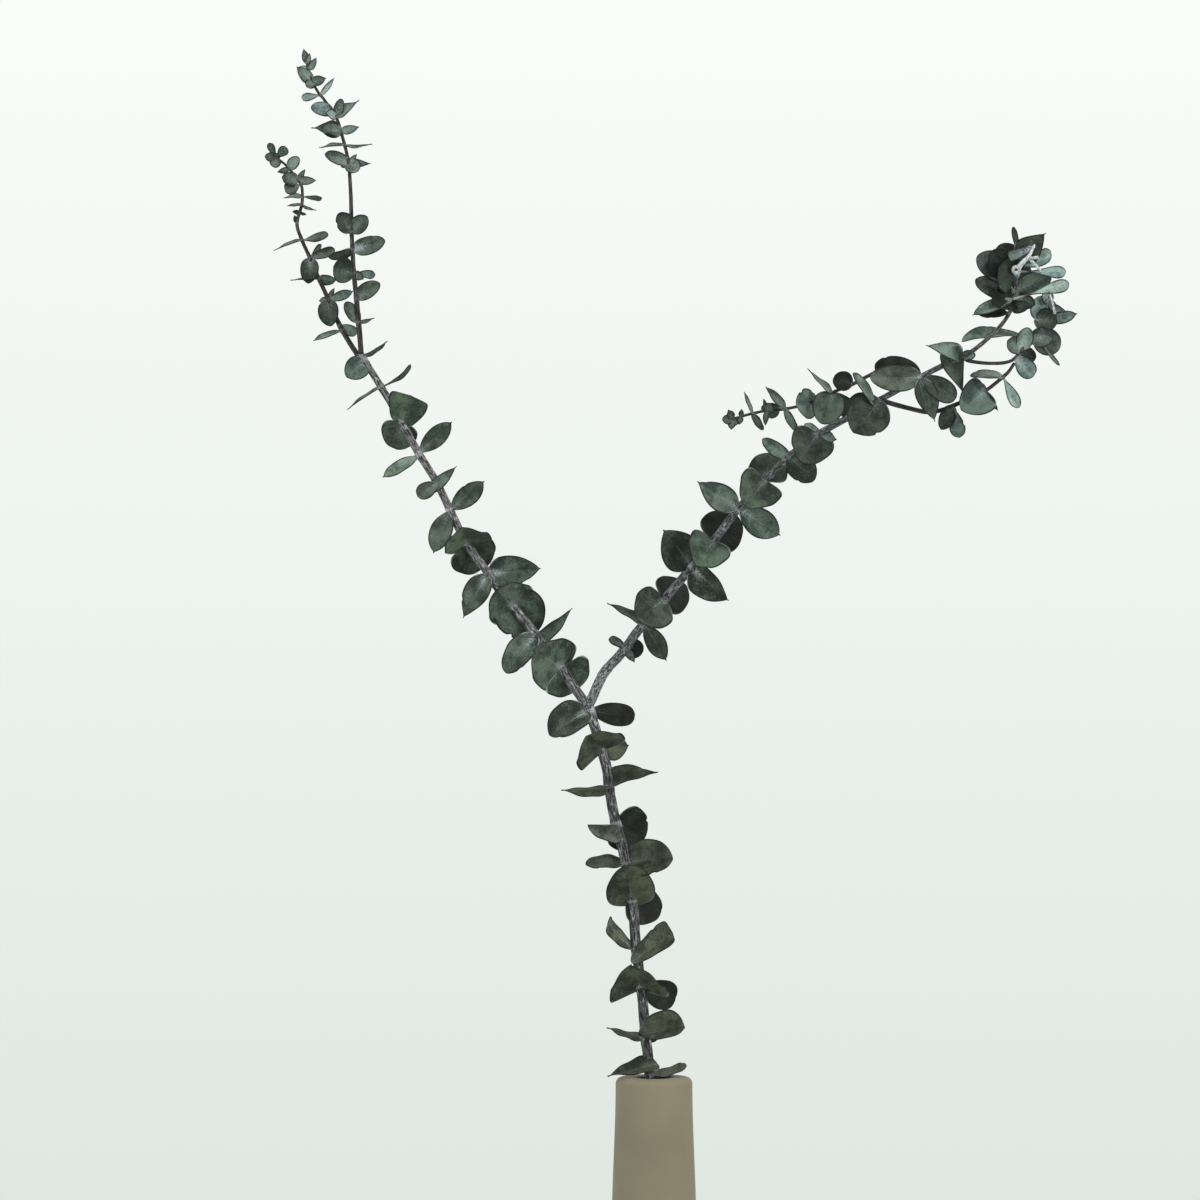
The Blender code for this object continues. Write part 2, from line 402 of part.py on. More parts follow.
def add_object(name, mesh, material):
    """Link a mesh to the scene as a named sub-part."""
    mesh.materials.clear()
    mesh.materials.append(material)
    item = bpy.data.objects.new(name, mesh)
    bpy.context.collection.objects.link(item)
    return item


def in_place(across, depth, height):
    """A point of the front layout as a point in metres above the bottle's foot."""
    spread = 1.0 + depth / SIGHT_DISTANCE
    x = SIGHT_ACROSS + (across - SIGHT_ACROSS) * spread
    z = SIGHT_HEIGHT + (height - SIGHT_HEIGHT) * spread + BOTTLE_HEIGHT
    return Vector((x, depth, z)) * MM


def arc(centre, radius, start, end, steps):
    """Points of a circular arc in the (radius, height) plane, angles in degrees."""
    points = []
    for step in range(steps + 1):
        angle = math.radians(start + (end - start) * step / steps)
        points.append((centre[0] + radius * math.cos(angle), centre[1] + radius * math.sin(angle)))
    return points


def flare(low, high, steps):
    """Points of a smooth S from one (radius, height) to the next, without its last point."""
    points = []
    for step in range(steps):
        share = step / steps
        ease = share * share * (3.0 - 2.0 * share)
        points.append((low[0] + (high[0] - low[0]) * ease, low[1] + (high[1] - low[1]) * share))
    return points


def bottle_profile():
    """The bottle's section from the foot's middle, up outside and down inside."""
    neck_foot = BOTTLE_HEIGHT - NECK_LENGTH
    edge = (TOP_RADIUS - TOP_EDGE_ROUND, BOTTLE_HEIGHT - TOP_EDGE_ROUND)
    ceiling = BOTTLE_HEIGHT - TOP_THICKNESS
    lip = (MOUTH_RADIUS + MOUTH_LIP, BOTTLE_HEIGHT - MOUTH_LIP)
    outside = [(0.0, 0.0), (FOOT_RADIUS - FOOT_CHAMFER, 0.0), (FOOT_RADIUS, FOOT_CHAMFER)]
    outside += flare((FOOT_RADIUS + 0.6, FOOT_CHAMFER + 6.0), (BELLY_RADIUS, BELLY_HEIGHT), 2)
    outside += flare((BELLY_RADIUS, BELLY_HEIGHT), (NECK_RADIUS, neck_foot), 7)
    outside += [(NECK_RADIUS, neck_foot)]
    outside += arc(edge, TOP_EDGE_ROUND, 0.0, 90.0, 3)
    mouth = arc(lip, MOUTH_LIP, 90.0, 180.0, 2) + [(MOUTH_RADIUS, ceiling)]
    inside = [(TOP_RADIUS - WALL, ceiling - 3.0), (NECK_RADIUS - WALL, neck_foot)]
    inside += flare((NECK_RADIUS - WALL, neck_foot), (BELLY_RADIUS - WALL, BELLY_HEIGHT), 4)[1:]
    inside += [(BELLY_RADIUS - WALL, BELLY_HEIGHT)]
    inside += [(FOOT_RADIUS - WALL, FLOOR_THICKNESS + 5.0)]
    inside += [(FOOT_RADIUS - WALL - 4.0, FLOOR_THICKNESS), (0.0, FLOOR_THICKNESS)]
    return outside + mouth + inside


def make_bottle():
    """Turn the bottle's section round its axis."""
    mesh_data = bmesh.new()
    points = [mesh_data.verts.new((r * MM, 0.0, z * MM)) for r, z in bottle_profile()]
    edges = [mesh_data.edges.new(pair) for pair in zip(points, points[1:])]
    bmesh.ops.spin(
        mesh_data,
        geom=points + edges,
        axis=(0.0, 0.0, 1.0),
        cent=(0.0, 0.0, 0.0),
        angle=math.tau,
        steps=BOTTLE_SIDES,
        use_merge=True,
    )
    bmesh.ops.remove_doubles(mesh_data, verts=mesh_data.verts, dist=0.00001)
    bmesh.ops.recalc_face_normals(mesh_data, faces=mesh_data.faces)
    mesh = bpy.data.meshes.new("bottle")
    mesh_data.to_mesh(mesh)
    mesh_data.free()
    mesh.shade_smooth()
    mesh.set_sharp_from_angle(angle=math.radians(40.0))
    add_object("bottle", mesh, finish("bottle_glaze", BOTTLE_COLOUR, 0.62))


def smooth_route(points, steps=10):
    """A Catmull-Rom curve through the route's points, in the front layout."""
    knots = [Vector(point) for point in points]
    knots = [2 * knots[0] - knots[1]] + knots + [2 * knots[-1] - knots[-2]]
    line = []
    for before, start, end, after in zip(knots, knots[1:], knots[2:], knots[3:]):
        for step in range(steps):
            t = step / steps
            line.append(
                0.5
                * (
                    2 * start
                    + (end - before) * t
                    + (2 * before - 5 * start + 4 * end - after) * t * t
                    + (3 * start - before - 3 * end + after) * t ** 3
                )
            )
    line.append(knots[-2])
    return line


def nearest_on(line, place):
    """The index of the route's point that is seen nearest to a place (across, height)."""
    def gap(index):
        point = line[index]
        return math.hypot(point.x - place[0], point.z - place[1])
    return min(range(len(line)), key=gap)


def run_lengths(line):
    """The distance along the route at each of its points."""
    lengths = [0.0]
    for start, end in zip(line, line[1:]):
        lengths.append(lengths[-1] + (end - start).length)
    return lengths


def point_at(line, lengths, distance):
    """The route's point at a distance along it."""
    for index in range(1, len(line)):
        if lengths[index] >= distance:
            span = lengths[index] - lengths[index - 1]
            share = (distance - lengths[index - 1]) / span
            return line[index - 1].lerp(line[index], share)
    return line[-1].copy()


def ring_distances(total, nodes, reach):
    """Where the stem has its rings: at both ends, round each leaf node and between."""
    marks = {0.0, total}
    if reach:
        for node in nodes:
            marks.update((node - reach, node + reach))
    marks = sorted(mark for mark in marks if 0.0 <= mark <= total)
    kept = [marks[0]]
    for mark in marks[1:]:
        gap = mark - kept[-1]
        if gap < 1.2:
            continue
        pieces = math.ceil(gap / STEM_SPAN)
        kept += [kept[-1] + gap * step / pieces for step in range(1, pieces)]
        kept.append(mark)
    kept[-1] = total
    return kept


def straight_line(points, steps=10):
    """Points along the straight runs between the given points."""
    line = []
    for start, end in zip(points, points[1:]):
        line += [start.lerp(end, step / steps) for step in range(steps)]
    line.append(points[-1])
    return line


def make_stem(name, line, radii, nodes):
    """A tapering stem with a collar at each leaf node: its closed mesh and its rings' middles."""
    lengths = run_lengths(line)
    total = lengths[-1]
    middles = []
    curve = bpy.data.curves.new(name, "CURVE")
    curve.dimensions = "3D"
    curve.bevel_depth = MM
    curve.bevel_resolution = 2 if radii[0] > THICK_STEM else 1
    curve.use_fill_caps = True
    collar = COLLAR_REACH if radii[0] > THICK_STEM else 0.0
    distances = ring_distances(total, [lengths[node] for node in nodes], collar)
    spline = curve.splines.new("POLY")
    spline.points.add(len(distances) - 1)
    for point, distance in zip(spline.points, distances):
        away = min(abs(distance - lengths[node]) for node in nodes)
        swell = 1.0 if away < 1.01 * collar else 0.0
        radius = radii[0] + (radii[1] - radii[0]) * distance / total
        middles.append(point_at(line, lengths, distance))
        point.co = (*in_place(*middles[-1]), 1.0)
        point.radius = radius * (1.0 + (COLLAR_SWELL - 1.0) * swell)
    guide = bpy.data.objects.new(name + "_guide", curve)
    bpy.context.collection.objects.link(guide)
    graph = bpy.context.evaluated_depsgraph_get()
    mesh = bpy.data.meshes.new_from_object(guide.evaluated_get(graph))
    bpy.data.objects.remove(guide, do_unlink=True)
    shell = bmesh.new()
    shell.from_mesh(mesh)
    bmesh.ops.remove_doubles(shell, verts=shell.verts, dist=0.00001)
    bmesh.ops.recalc_face_normals(shell, faces=shell.faces)
    shell.to_mesh(mesh)
    shell.free()
    return mesh, middles


def outline_share(kind, t):
    """The outline's half width at t along the leaf, as a share of its widest."""
    near, far = OUTLINES[kind]
    widest = near / (near + far)
    return (t / widest) ** near * ((1.0 - t) / (1.0 - widest)) ** far


def leaf_rows(size):
    """How many rows of faces a leaf has along its midrib."""
    if size < TINY_LEAF:
        return TINY_LEAF_ROWS
    return SMALL_LEAF_ROWS if size < SMALL_LEAF else LEAF_ROWS


def make_leaf(name, root, tip, width, roll, fold, bend, behind, kind):
    """A thin closed blade from its root to its tip, rolled, folded and bent."""
    run = tip - root
    along = run.normalized()
    root = root - along * behind
    run = tip - root
    length = run.length
    to_viewer = Vector((0.0, -1.0, 0.0))
    facing = (to_viewer - along * to_viewer.dot(along)).normalized()
    facing.rotate(Matrix.Rotation(math.radians(roll), 3, along))
    side = along.cross(facing)
    rows = leaf_rows(max(length, width) / MM)
    turn = math.radians(bend) if abs(bend) > 1.0 else math.radians(1.0)
    lift = math.radians(fold)
    blade = bmesh.new()
    bmesh.ops.create_grid(blade, x_segments=2, y_segments=rows, size=1.0)
    for vert in blade.verts:
        t = 0.5 - 0.5 * math.cos(math.pi * (vert.co.y + 1.0) / 2.0)
        half = width / 2.0 * outline_share(kind, t)
        half = max(half, STALK_HALF_WIDTH * MM * (1.0 - t) ** 3)
        angle = turn * (t - 0.5)
        chord = length / (2.0 * math.sin(turn / 2.0))
        ahead = chord * (math.sin(angle) + math.sin(turn / 2.0))
        rise = chord * (math.cos(angle) - math.cos(turn / 2.0))
        over = vert.co.x * half
        up = rise + abs(over) * math.sin(lift)
        vert.co = root + along * ahead + side * over * math.cos(lift) + facing * up
    bmesh.ops.remove_doubles(blade, verts=blade.verts, dist=0.00002)
    bmesh.ops.triangulate(blade, faces=blade.faces, quad_method="FIXED")
    bmesh.ops.recalc_face_normals(blade, faces=blade.faces)
    blade.normal_update()
    for vert in blade.verts:
        vert.co += vert.normal * BLADE_THICKNESS * MM / 2.0
    bmesh.ops.solidify(blade, geom=blade.faces, thickness=BLADE_THICKNESS * MM)
    bmesh.ops.recalc_face_normals(blade, faces=blade.faces)
    mesh = bpy.data.meshes.new(name)
    blade.to_mesh(mesh)
    blade.free()
    return mesh


def make_shoot(name, plan):
    """Fuse a stem and its leaves into one solid."""
    line = smooth_route(plan["route"])
    nodes = sorted({nearest_on(line, leaf[0]) for leaf in plan["leaves"]})
    mesh, middles = make_stem(name, line, plan["radius"], nodes)
    surface = finish(name + "_surface", SHOOT_COLOURS[name], 0.6)
    stem = add_object(name, mesh, surface)
    axis = straight_line(middles)
    foliage = bpy.data.collections.new(name + "_leaves")
    bpy.context.scene.collection.children.link(foliage)
    for number, leaf in enumerate(plan["leaves"]):
        place, (right, up, forward), width, roll, fold, bend, behind, kind = leaf
        joint = axis[nearest_on(axis, place)]
        root = in_place(*joint)
        tip = in_place(place[0] + right, joint.y - forward, place[1] + up)
        mesh = make_leaf(f"{name}_leaf_{number}", root, tip, width * MM, roll, fold, bend,
                         behind * MM, kind)
        foliage.objects.link(bpy.data.objects.new(mesh.name, mesh))
    union = stem.modifiers.new("leaves", "BOOLEAN")
    union.operation = "UNION"
    union.operand_type = "COLLECTION"
    union.collection = foliage
    union.solver = "MANIFOLD"
    graph = bpy.context.evaluated_depsgraph_get()
    fused = bpy.data.meshes.new_from_object(stem.evaluated_get(graph))
    stem.modifiers.clear()
    stem.data = fused
    for blade in list(foliage.objects):
        bpy.data.objects.remove(blade, do_unlink=True)
    bpy.data.collections.remove(foliage)
    fused.materials.clear()
    fused.materials.append(surface)
    fused.shade_smooth()
    fused.set_sharp_from_angle(angle=math.radians(35.0))


clear_scene()
make_bottle()
for shoot_name, shoot_plan in SHOOTS.items():
    make_shoot(shoot_name, shoot_plan)
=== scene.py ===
"""A eucalyptus branch in its bottle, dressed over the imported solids.

The origin is the middle of the bottle's foot, +Z is up and the branch is seen from -Y.
Plans are in millimetres, and every mesh is in metres.
"""

import math
import random

import bmesh
import bpy
from mathutils import Matrix, Vector, noise


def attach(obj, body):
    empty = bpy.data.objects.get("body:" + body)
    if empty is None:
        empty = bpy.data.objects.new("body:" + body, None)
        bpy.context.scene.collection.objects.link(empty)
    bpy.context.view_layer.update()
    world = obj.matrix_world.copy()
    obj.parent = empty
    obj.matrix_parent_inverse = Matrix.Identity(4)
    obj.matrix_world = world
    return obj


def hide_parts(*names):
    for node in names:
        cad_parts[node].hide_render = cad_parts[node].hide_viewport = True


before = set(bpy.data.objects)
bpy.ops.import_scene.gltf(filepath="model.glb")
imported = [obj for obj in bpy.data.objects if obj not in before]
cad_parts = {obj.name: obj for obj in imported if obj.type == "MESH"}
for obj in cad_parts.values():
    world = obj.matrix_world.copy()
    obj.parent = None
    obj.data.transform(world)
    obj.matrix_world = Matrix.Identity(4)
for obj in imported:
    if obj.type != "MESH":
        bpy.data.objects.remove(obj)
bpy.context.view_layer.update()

# The bottle is one slip-cast ceramic vessel with a slim neck, a nearly flat top and a small
# mouth, in a dry matte taupe glaze. It is turned from one section, foot to lip to inner floor.
MM = 0.001
BOTTLE_HEIGHT = 225.0
TOP_RADIUS = 19.2
TOP_RING = 13.0
TOP_EDGE_ROUND = 3.2
TOP_THICKNESS = 6.0
NECK_RADIUS = 21.2
NECK_LENGTH = 78.0
BELLY_RADIUS = 43.0
BELLY_HEIGHT = 62.0
FOOT_RADIUS = 38.0
FOOT_RING = 20.0
FOOT_CHAMFER = 1.5
FOOT_TUCK = 0.4
FOOT_RISE = 6.0
FOOT_SPREAD = 0.6
WALL = 4.5
FLOOR_THICKNESS = 7.0
FLOOR_ROUND = 5.0
CEILING_DROP = 3.0
MOUTH_RADIUS = 9.0
MOUTH_LIP = 1.5
MOUTH_EASE = 1.0
MOUTH_UNDERCUT = 0.4
BOTTLE_TURN_STEPS = 128
BOTTLE_SHARP_EDGE = 50.0
BOTTLE_SEAM = 0.000005
GLAZE = (0.212, 0.184, 0.126, 1.0)
GLAZE_DARK = (0.188, 0.162, 0.110, 1.0)
GLAZE_SPECK = (0.150, 0.125, 0.085, 1.0)
GLAZE_CLOUD_SCALE = 22.0
GLAZE_SPECK_SCALE = 1500.0
GLAZE_GRAIN_SCALE = 700.0
GLAZE_GRAIN_MM = 0.05
BARE_CLAY = (0.420, 0.370, 0.290, 1.0)
BARE_CLAY_EDGE = (0.0010, 0.0016)
BARE_CLAY_WANDER = 0.0004


class Socket:
    """A node's output. A sum, difference or product of these adds its Math node."""

    def __init__(self, finish, output):
        self.finish = finish
        self.output = output

    def math(self, operation, *terms):
        return self.finish.node("ShaderNodeMath", {"operation": operation}, dict(enumerate(terms)))

    def __add__(self, other):
        return self.math("ADD", self, other)

    def __sub__(self, other):
        return self.math("SUBTRACT", self, other)

    def __rsub__(self, other):
        return self.math("SUBTRACT", other, self)

    def __mul__(self, other):
        return self.math("MULTIPLY", self, other)

    __radd__ = __add__
    __rmul__ = __mul__


class Finish:
    """A material with one Principled shader, or the world's air, built up from nodes."""

    def __init__(self, name, kind="materials", shader="Principled BSDF"):
        self.material = getattr(bpy.data, kind).new(name)
        self.material.use_nodes = True
        self.tree = self.material.node_tree
        self.surface = self.tree.nodes[shader]

    def fill(self, place, value):
        if isinstance(value, Socket):
            self.tree.links.new(value.output, place)
        else:
            place.default_value = value

    def node(self, kind, settings, sockets, output=0):
        made = self.tree.nodes.new(kind)
        for name, value in settings.items():
            setattr(made, name, value)
        for name, value in sockets.items():
            self.fill(made.inputs[name], value)
        return Socket(self, made.outputs[output])

    def set(self, sockets):
        for name, value in sockets.items():
            self.fill(self.surface.inputs[name], value)

    def place(self):
        return self.node("ShaderNodeTexCoord", {}, {}, "Object")

    def named(self, attribute, output="Vector"):
        return self.node("ShaderNodeAttribute", {"attribute_name": attribute}, {}, output)

    def axes(self, vector):
        return [self.node("ShaderNodeSeparateXYZ", {}, {0: vector}, axis) for axis in "XYZ"]

    def grain(self, vector, scale, detail=3.0, rough=0.55):
        sockets = {"Vector": vector, "Scale": scale, "Detail": detail, "Roughness": rough}
        return self.node("ShaderNodeTexNoise", {}, sockets, "Fac")

    def rise(self, value, low, high):
        sockets = {"Value": value, "From Min": low, "From Max": high}
        return self.node("ShaderNodeMapRange", {"interpolation_type": "SMOOTHSTEP"}, sockets)

    def mix(self, share, first, second, how="MIX"):
        settings = {"data_type": "RGBA", "blend_type": how}
        return self.node("ShaderNodeMix", settings, {0: share, 6: first, 7: second}, 2)

    def bump(self, height, depth_mm, strength=1.0):
        sockets = {"Height": height, "Distance": depth_mm * MM, "Strength": strength}
        return self.node("ShaderNodeBump", {}, sockets)


def arc(centre, radius, start, end, steps):
    """Points of a circular arc in the (radius, height) plane, angles in degrees."""
    points = []
    for step in range(steps + 1):
        angle = math.radians(start + (end - start) * step / steps)
        points.append((centre[0] + radius * math.cos(angle), centre[1] + radius * math.sin(angle)))
    return points


def flare(low, high, steps):
    """Points of a smooth S from one (radius, height) to the next, without its last point."""
    points = []
    for step in range(steps):
        share = step / steps
        ease = share * share * (3.0 - 2.0 * share)
        points.append((low[0] + (high[0] - low[0]) * ease, low[1] + (high[1] - low[1]) * share))
    return points


def bottle_section():
    """The bottle's section from the foot's middle, up outside and down inside."""
    neck_foot = BOTTLE_HEIGHT - NECK_LENGTH
    edge = (TOP_RADIUS - TOP_EDGE_ROUND, BOTTLE_HEIGHT - TOP_EDGE_ROUND)
    ceiling = BOTTLE_HEIGHT - TOP_THICKNESS
    lip = (MOUTH_RADIUS + MOUTH_LIP, BOTTLE_HEIGHT - MOUTH_LIP)
    foot_corner = (FOOT_RADIUS - FOOT_CHAMFER, FOOT_CHAMFER)
    foot_side = (FOOT_RADIUS + FOOT_SPREAD, FOOT_CHAMFER + FOOT_RISE)
    belly = (BELLY_RADIUS, BELLY_HEIGHT)
    neck = (NECK_RADIUS, neck_foot)
    outside = [(0.0, 0.0), (FOOT_RING, 0.0), (FOOT_RADIUS - FOOT_CHAMFER - FOOT_TUCK, 0.0)]
    outside += arc(foot_corner, FOOT_CHAMFER, -80.0, 0.0, 6)
    outside += flare(foot_side, belly, 14)
    outside += flare(belly, neck, 30)
    outside += flare(neck, (TOP_RADIUS, edge[1]), 16)
    outside += arc(edge, TOP_EDGE_ROUND, 0.0, 90.0, 12)
    mouth = [(TOP_RING, BOTTLE_HEIGHT)] + arc(lip, MOUTH_LIP, 90.0, 180.0, 8)
    mouth += [(MOUTH_RADIUS, ceiling + MOUTH_EASE), (MOUTH_RADIUS + MOUTH_UNDERCUT, ceiling)]
    inner_top = (TOP_RADIUS - WALL, ceiling - CEILING_DROP)
    inner_neck = (NECK_RADIUS - WALL, neck_foot)
    inner_belly = (BELLY_RADIUS - WALL, BELLY_HEIGHT)
    inner_foot = (FOOT_RADIUS - WALL, FLOOR_THICKNESS + FLOOR_ROUND)
    inside = flare(inner_top, inner_neck, 6)
    inside += flare(inner_neck, inner_belly, 16)
    inside += flare(inner_belly, inner_foot, 8)
    inside += arc((inner_foot[0] - FLOOR_ROUND, inner_foot[1]), FLOOR_ROUND, 0.0, -90.0, 5)
    return outside + mouth + inside + [(0.0, FLOOR_THICKNESS)]


def into_scene(name, shape, *finishes):
    """A finished mesh as a named object at the origin, shaded smooth."""
    mesh = bpy.data.meshes.new(name)
    shape.to_mesh(mesh)
    shape.free()
    mesh.shade_smooth()
    for finish in finishes:
        mesh.materials.append(finish.material)
    piece = bpy.data.objects.new(name, mesh)
    bpy.context.scene.collection.objects.link(piece)
    return piece


def bottle_glaze():
    """Matte glaze: soft cloudy tone, fine dark specks, a dry grain, bare clay at the foot."""
    glaze = Finish("bottle_glaze")
    place = glaze.place()
    height = glaze.axes(place)[2]
    cloud = glaze.grain(place, GLAZE_CLOUD_SCALE, 2.0)
    speck = glaze.rise(glaze.grain(place, GLAZE_SPECK_SCALE, 2.0, 0.6), 0.66, 0.74)
    dry = glaze.grain(place, GLAZE_GRAIN_SCALE, 4.0, 0.65)
    colour = glaze.mix(glaze.rise(cloud, 0.38, 0.66), GLAZE_DARK, GLAZE)
    colour = glaze.mix(speck * 0.35, colour, GLAZE_SPECK)
    bare = 1.0 - glaze.rise(height + BARE_CLAY_WANDER * cloud, *BARE_CLAY_EDGE)
    colour = glaze.mix(bare, colour, BARE_CLAY)
    glaze.set({
        "Base Color": colour,
        "Roughness": 0.52 + 0.14 * dry + 0.15 * bare,
        "Normal": glaze.bump(dry + 0.4 * speck, GLAZE_GRAIN_MM, 0.55),
        "Specular IOR Level": 0.22,
    })
    return glaze


turned = bmesh.new()
rim = [turned.verts.new((r * MM, 0.0, z * MM)) for r, z in bottle_section()]
runs = [turned.edges.new(pair) for pair in zip(rim, rim[1:])]
bmesh.ops.spin(turned, geom=rim + runs, axis=(0, 0, 1), cent=(0, 0, 0), angle=math.tau,
               steps=BOTTLE_TURN_STEPS, use_merge=True)
bmesh.ops.remove_doubles(turned, verts=turned.verts, dist=BOTTLE_SEAM)
bmesh.ops.recalc_face_normals(turned, faces=turned.faces)
bottle = into_scene("bottle_vessel", turned, bottle_glaze())
bottle.data.set_sharp_from_angle(angle=math.radians(BOTTLE_SHARP_EDGE))
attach(bottle, "root")
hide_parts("bottle")

# The main stem is the branch's oldest wood: grey bark streaked lengthwise, dusted with pale
# bloom and ringed where each pair of leaves grows. It stands on the bottle's inner floor.
RING_STEP = 1.5
ROUTE_STEPS = 12
TWIG_SIDES = 14
WOOD_SEAM = 0.000002
NOISE_SHIFT = 0.37
BARK_GRAIN_MM = 0.40

# Swell and depths are shares of the stem's radius. Fineness is the noise's scale round the stem,
# and draw is its scale per mm along it.
COLLAR_REACH = 1.9
COLLAR_SWELL = 0.12
RIB_DEPTH = 0.07
RIB_FINENESS = 2.2
RIB_DRAW = 0.06
LUMP_DEPTH = 0.06
LUMP_FINENESS = 0.9
LUMP_DRAW = 0.22

# The branch is laid out as it is seen from in front, from the middle of the bottle's mouth:
# across to the right, depth away from the viewer, height above the mouth.
SIGHT_DISTANCE = 2400.0
SIGHT_ACROSS = -27.0
SIGHT_HEIGHT = 238.5

# A blade is one thin grid of rows and half columns: the fewest, the most and how many per mm.
# It narrows to a stalk at its root, and ends in a short point unless its outline is blunt.
BLADE_THICKNESS = 0.42
BLADE_ROWS = (9, 28, 1.15)
HALF_COLUMNS = (3, 8, 0.5)
COLUMN_CROWD = 0.7
LEAST_BEND = 1.0
STALK_HALF_WIDTH = 0.62
TIP_HALF_WIDTH = 0.02
TIP_POINT = 0.9
TIP_POINT_SIZE = 16.0
TIP_ROW = 0.9999
BLUNT_TIP = 0.6
MIDRIB_DEPTH = 0.22
MIDRIB_HALF_WIDTH = 0.45
MIDRIB_SIZE = 12.0
NICK_LENGTH = 0.03
EDGE_WAVES = 12.0
EDGE_LAG = 1.6
LEAN_SHARE = 0.3

# Leaf outlines, as the powers of the distance from the root and from the tip.
OUTLINES = {
    "shield": (0.12, 0.50),
    "heart": (0.24, 0.50),
    "round": (0.45, 0.50),
    "blunt": (0.70, 0.40),
    "cut": (0.50, 0.08),
    "lance": (0.90, 0.70),
    "ovate": (0.50, 0.75),
    "wedge": (0.32, 1.00),
    "pointed": (0.75, 1.00),
    "spoon": (1.30, 0.50),
    "paddle": (2.60, 0.50),
    "narrow": (0.70, 1.60),
}

# Leaf tones, from the darkest, night and deep, which paint the shade on leaves behind the stem,
# to the bluish young ones, and the share of pale bloom on each.
TONES = {
    "night": ((0.0125, 0.0165, 0.0145), 0.15),
    "deep": ((0.0088, 0.0120, 0.0080), 0.20),
    "dusk": ((0.0258, 0.0360, 0.0258), 0.50),
    "green": ((0.0420, 0.0600, 0.0430), 0.60),
    "moss": ((0.0400, 0.0440, 0.0290), 0.40),
    "fern": ((0.0560, 0.0750, 0.0560), 0.55),
    "olive": ((0.0660, 0.0710, 0.0440), 0.45),
    "slate": ((0.0580, 0.0800, 0.0710), 0.65),
    "stone": ((0.0580, 0.0660, 0.0630), 0.70),
    "bright": ((0.0630, 0.0900, 0.0610), 0.60),
    "sage": ((0.1050, 0.1440, 0.1190), 0.60),
    "khaki": ((0.0850, 0.0930, 0.0710), 0.50),
    "mauve": ((0.0880, 0.0980, 0.0930), 0.70),
    "teal": ((0.1320, 0.1840, 0.1740), 0.75),
    "frost": ((0.2500, 0.3280, 0.3130), 0.95),
}


def in_place(across, depth, height):
    """A point of the front layout as a point in metres above the bottle's foot."""
    spread = 1.0 + depth / SIGHT_DISTANCE
    x = SIGHT_ACROSS + (across - SIGHT_ACROSS) * spread
    z = SIGHT_HEIGHT + (height - SIGHT_HEIGHT) * spread + BOTTLE_HEIGHT
    return Vector((x, depth, z)) * MM


def smooth_route(points):
    """A Catmull-Rom curve through the route's points, in the front layout."""
    knots = [Vector(point) for point in points]
    knots = [2 * knots[0] - knots[1]] + knots + [2 * knots[-1] - knots[-2]]
    line = []
    for before, start, end, after in zip(knots, knots[1:], knots[2:], knots[3:]):
        for step in range(ROUTE_STEPS):
            t = step / ROUTE_STEPS
            bend = 2 * before - 5 * start + 4 * end - after
            swing = 3 * start - before - 3 * end + after
            line.append(0.5 * (2 * start + (end - before) * t + bend * t * t + swing * t ** 3))
    line.append(knots[-2])
    return line


def nearest_on(line, place):
    """The index of the route's point that is seen nearest to a place (across, height)."""
    def gap(index):
        return math.hypot(line[index].x - place[0], line[index].z - place[1])
    return min(range(len(line)), key=gap)


def even_points(line, step):
    """Evenly spaced (distance, point) pairs, and the distance of each point of the line."""
    lengths = [0.0]
    for start, end in zip(line, line[1:]):
        lengths.append(lengths[-1] + (end - start).length)
    count = max(4, math.ceil(lengths[-1] / step))
    points = []
    index = 1
    for number in range(count + 1):
        distance = lengths[-1] * number / count
        while index < len(line) - 1 and lengths[index] < distance:
            index += 1
        span = lengths[index] - lengths[index - 1]
        share = (distance - lengths[index - 1]) / span
        points.append((distance, line[index - 1].lerp(line[index], share)))
    return points, lengths


def wooden_stem(name, line, radii, nodes, bark, sides, seed):
    """A tapering stem along its line, with a swollen ring at each node and a fine ribbed skin."""
    points, lengths = even_points(line, RING_STEP)
    rings = len(points) - 1
    total = lengths[-1]
    marks = [lengths[node] for node in nodes]
    middles = [in_place(*point) for _, point in points]
    runs = [(after - before).normalized() for before, after in zip(middles, middles[1:])]
    runs.append(runs[-1])
    across = runs[0].orthogonal().normalized()
    frames = []
    for run in runs:
        across = (across - run * across.dot(run)).normalized()
        frames.append((across.copy(), run.cross(across)))
    tube = bmesh.new()
    skin_place = tube.verts.layers.float_vector.new("bark_place")
    collar_share = tube.verts.layers.float.new("collar")
    bmesh.ops.create_grid(tube, x_segments=sides, y_segments=rings, size=1.0)
    for vert in tube.verts:
        angle = math.pi * (vert.co.x + 1.0)
        ring = round((vert.co.y + 1.0) / 2.0 * rings)
        distance = points[ring][0]
        away = min((abs(distance - mark) for mark in marks), default=math.inf)
        collar = math.exp(-(away / COLLAR_REACH) ** 2)
        radius = radii[0] + (radii[1] - radii[0]) * distance / total
        round_x, round_y = math.cos(angle), math.sin(angle)
        ribs = noise.noise(Vector((round_x * RIB_FINENESS, round_y * RIB_FINENESS,
                                   distance * RIB_DRAW + seed)))
        lumps = noise.noise(Vector((round_x * LUMP_FINENESS, round_y * LUMP_FINENESS,
                                    distance * LUMP_DRAW - seed)))
        swell = 1.0 + COLLAR_SWELL * collar + RIB_DEPTH * ribs + LUMP_DEPTH * lumps
        thick = radius * swell
        first, second = frames[ring]
        vert.co = middles[ring] + (first * round_x + second * round_y) * thick * MM
        vert[skin_place] = Vector((round_x * radius, round_y * radius, distance))
        vert[collar_share] = collar
    bmesh.ops.remove_doubles(tube, verts=tube.verts, dist=WOOD_SEAM)
    ends = [edge for edge in tube.edges if edge.is_boundary]
    bmesh.ops.holes_fill(tube, edges=ends, sides=0)
    bmesh.ops.recalc_face_normals(tube, faces=tube.faces)
    return into_scene(name, tube, bark)


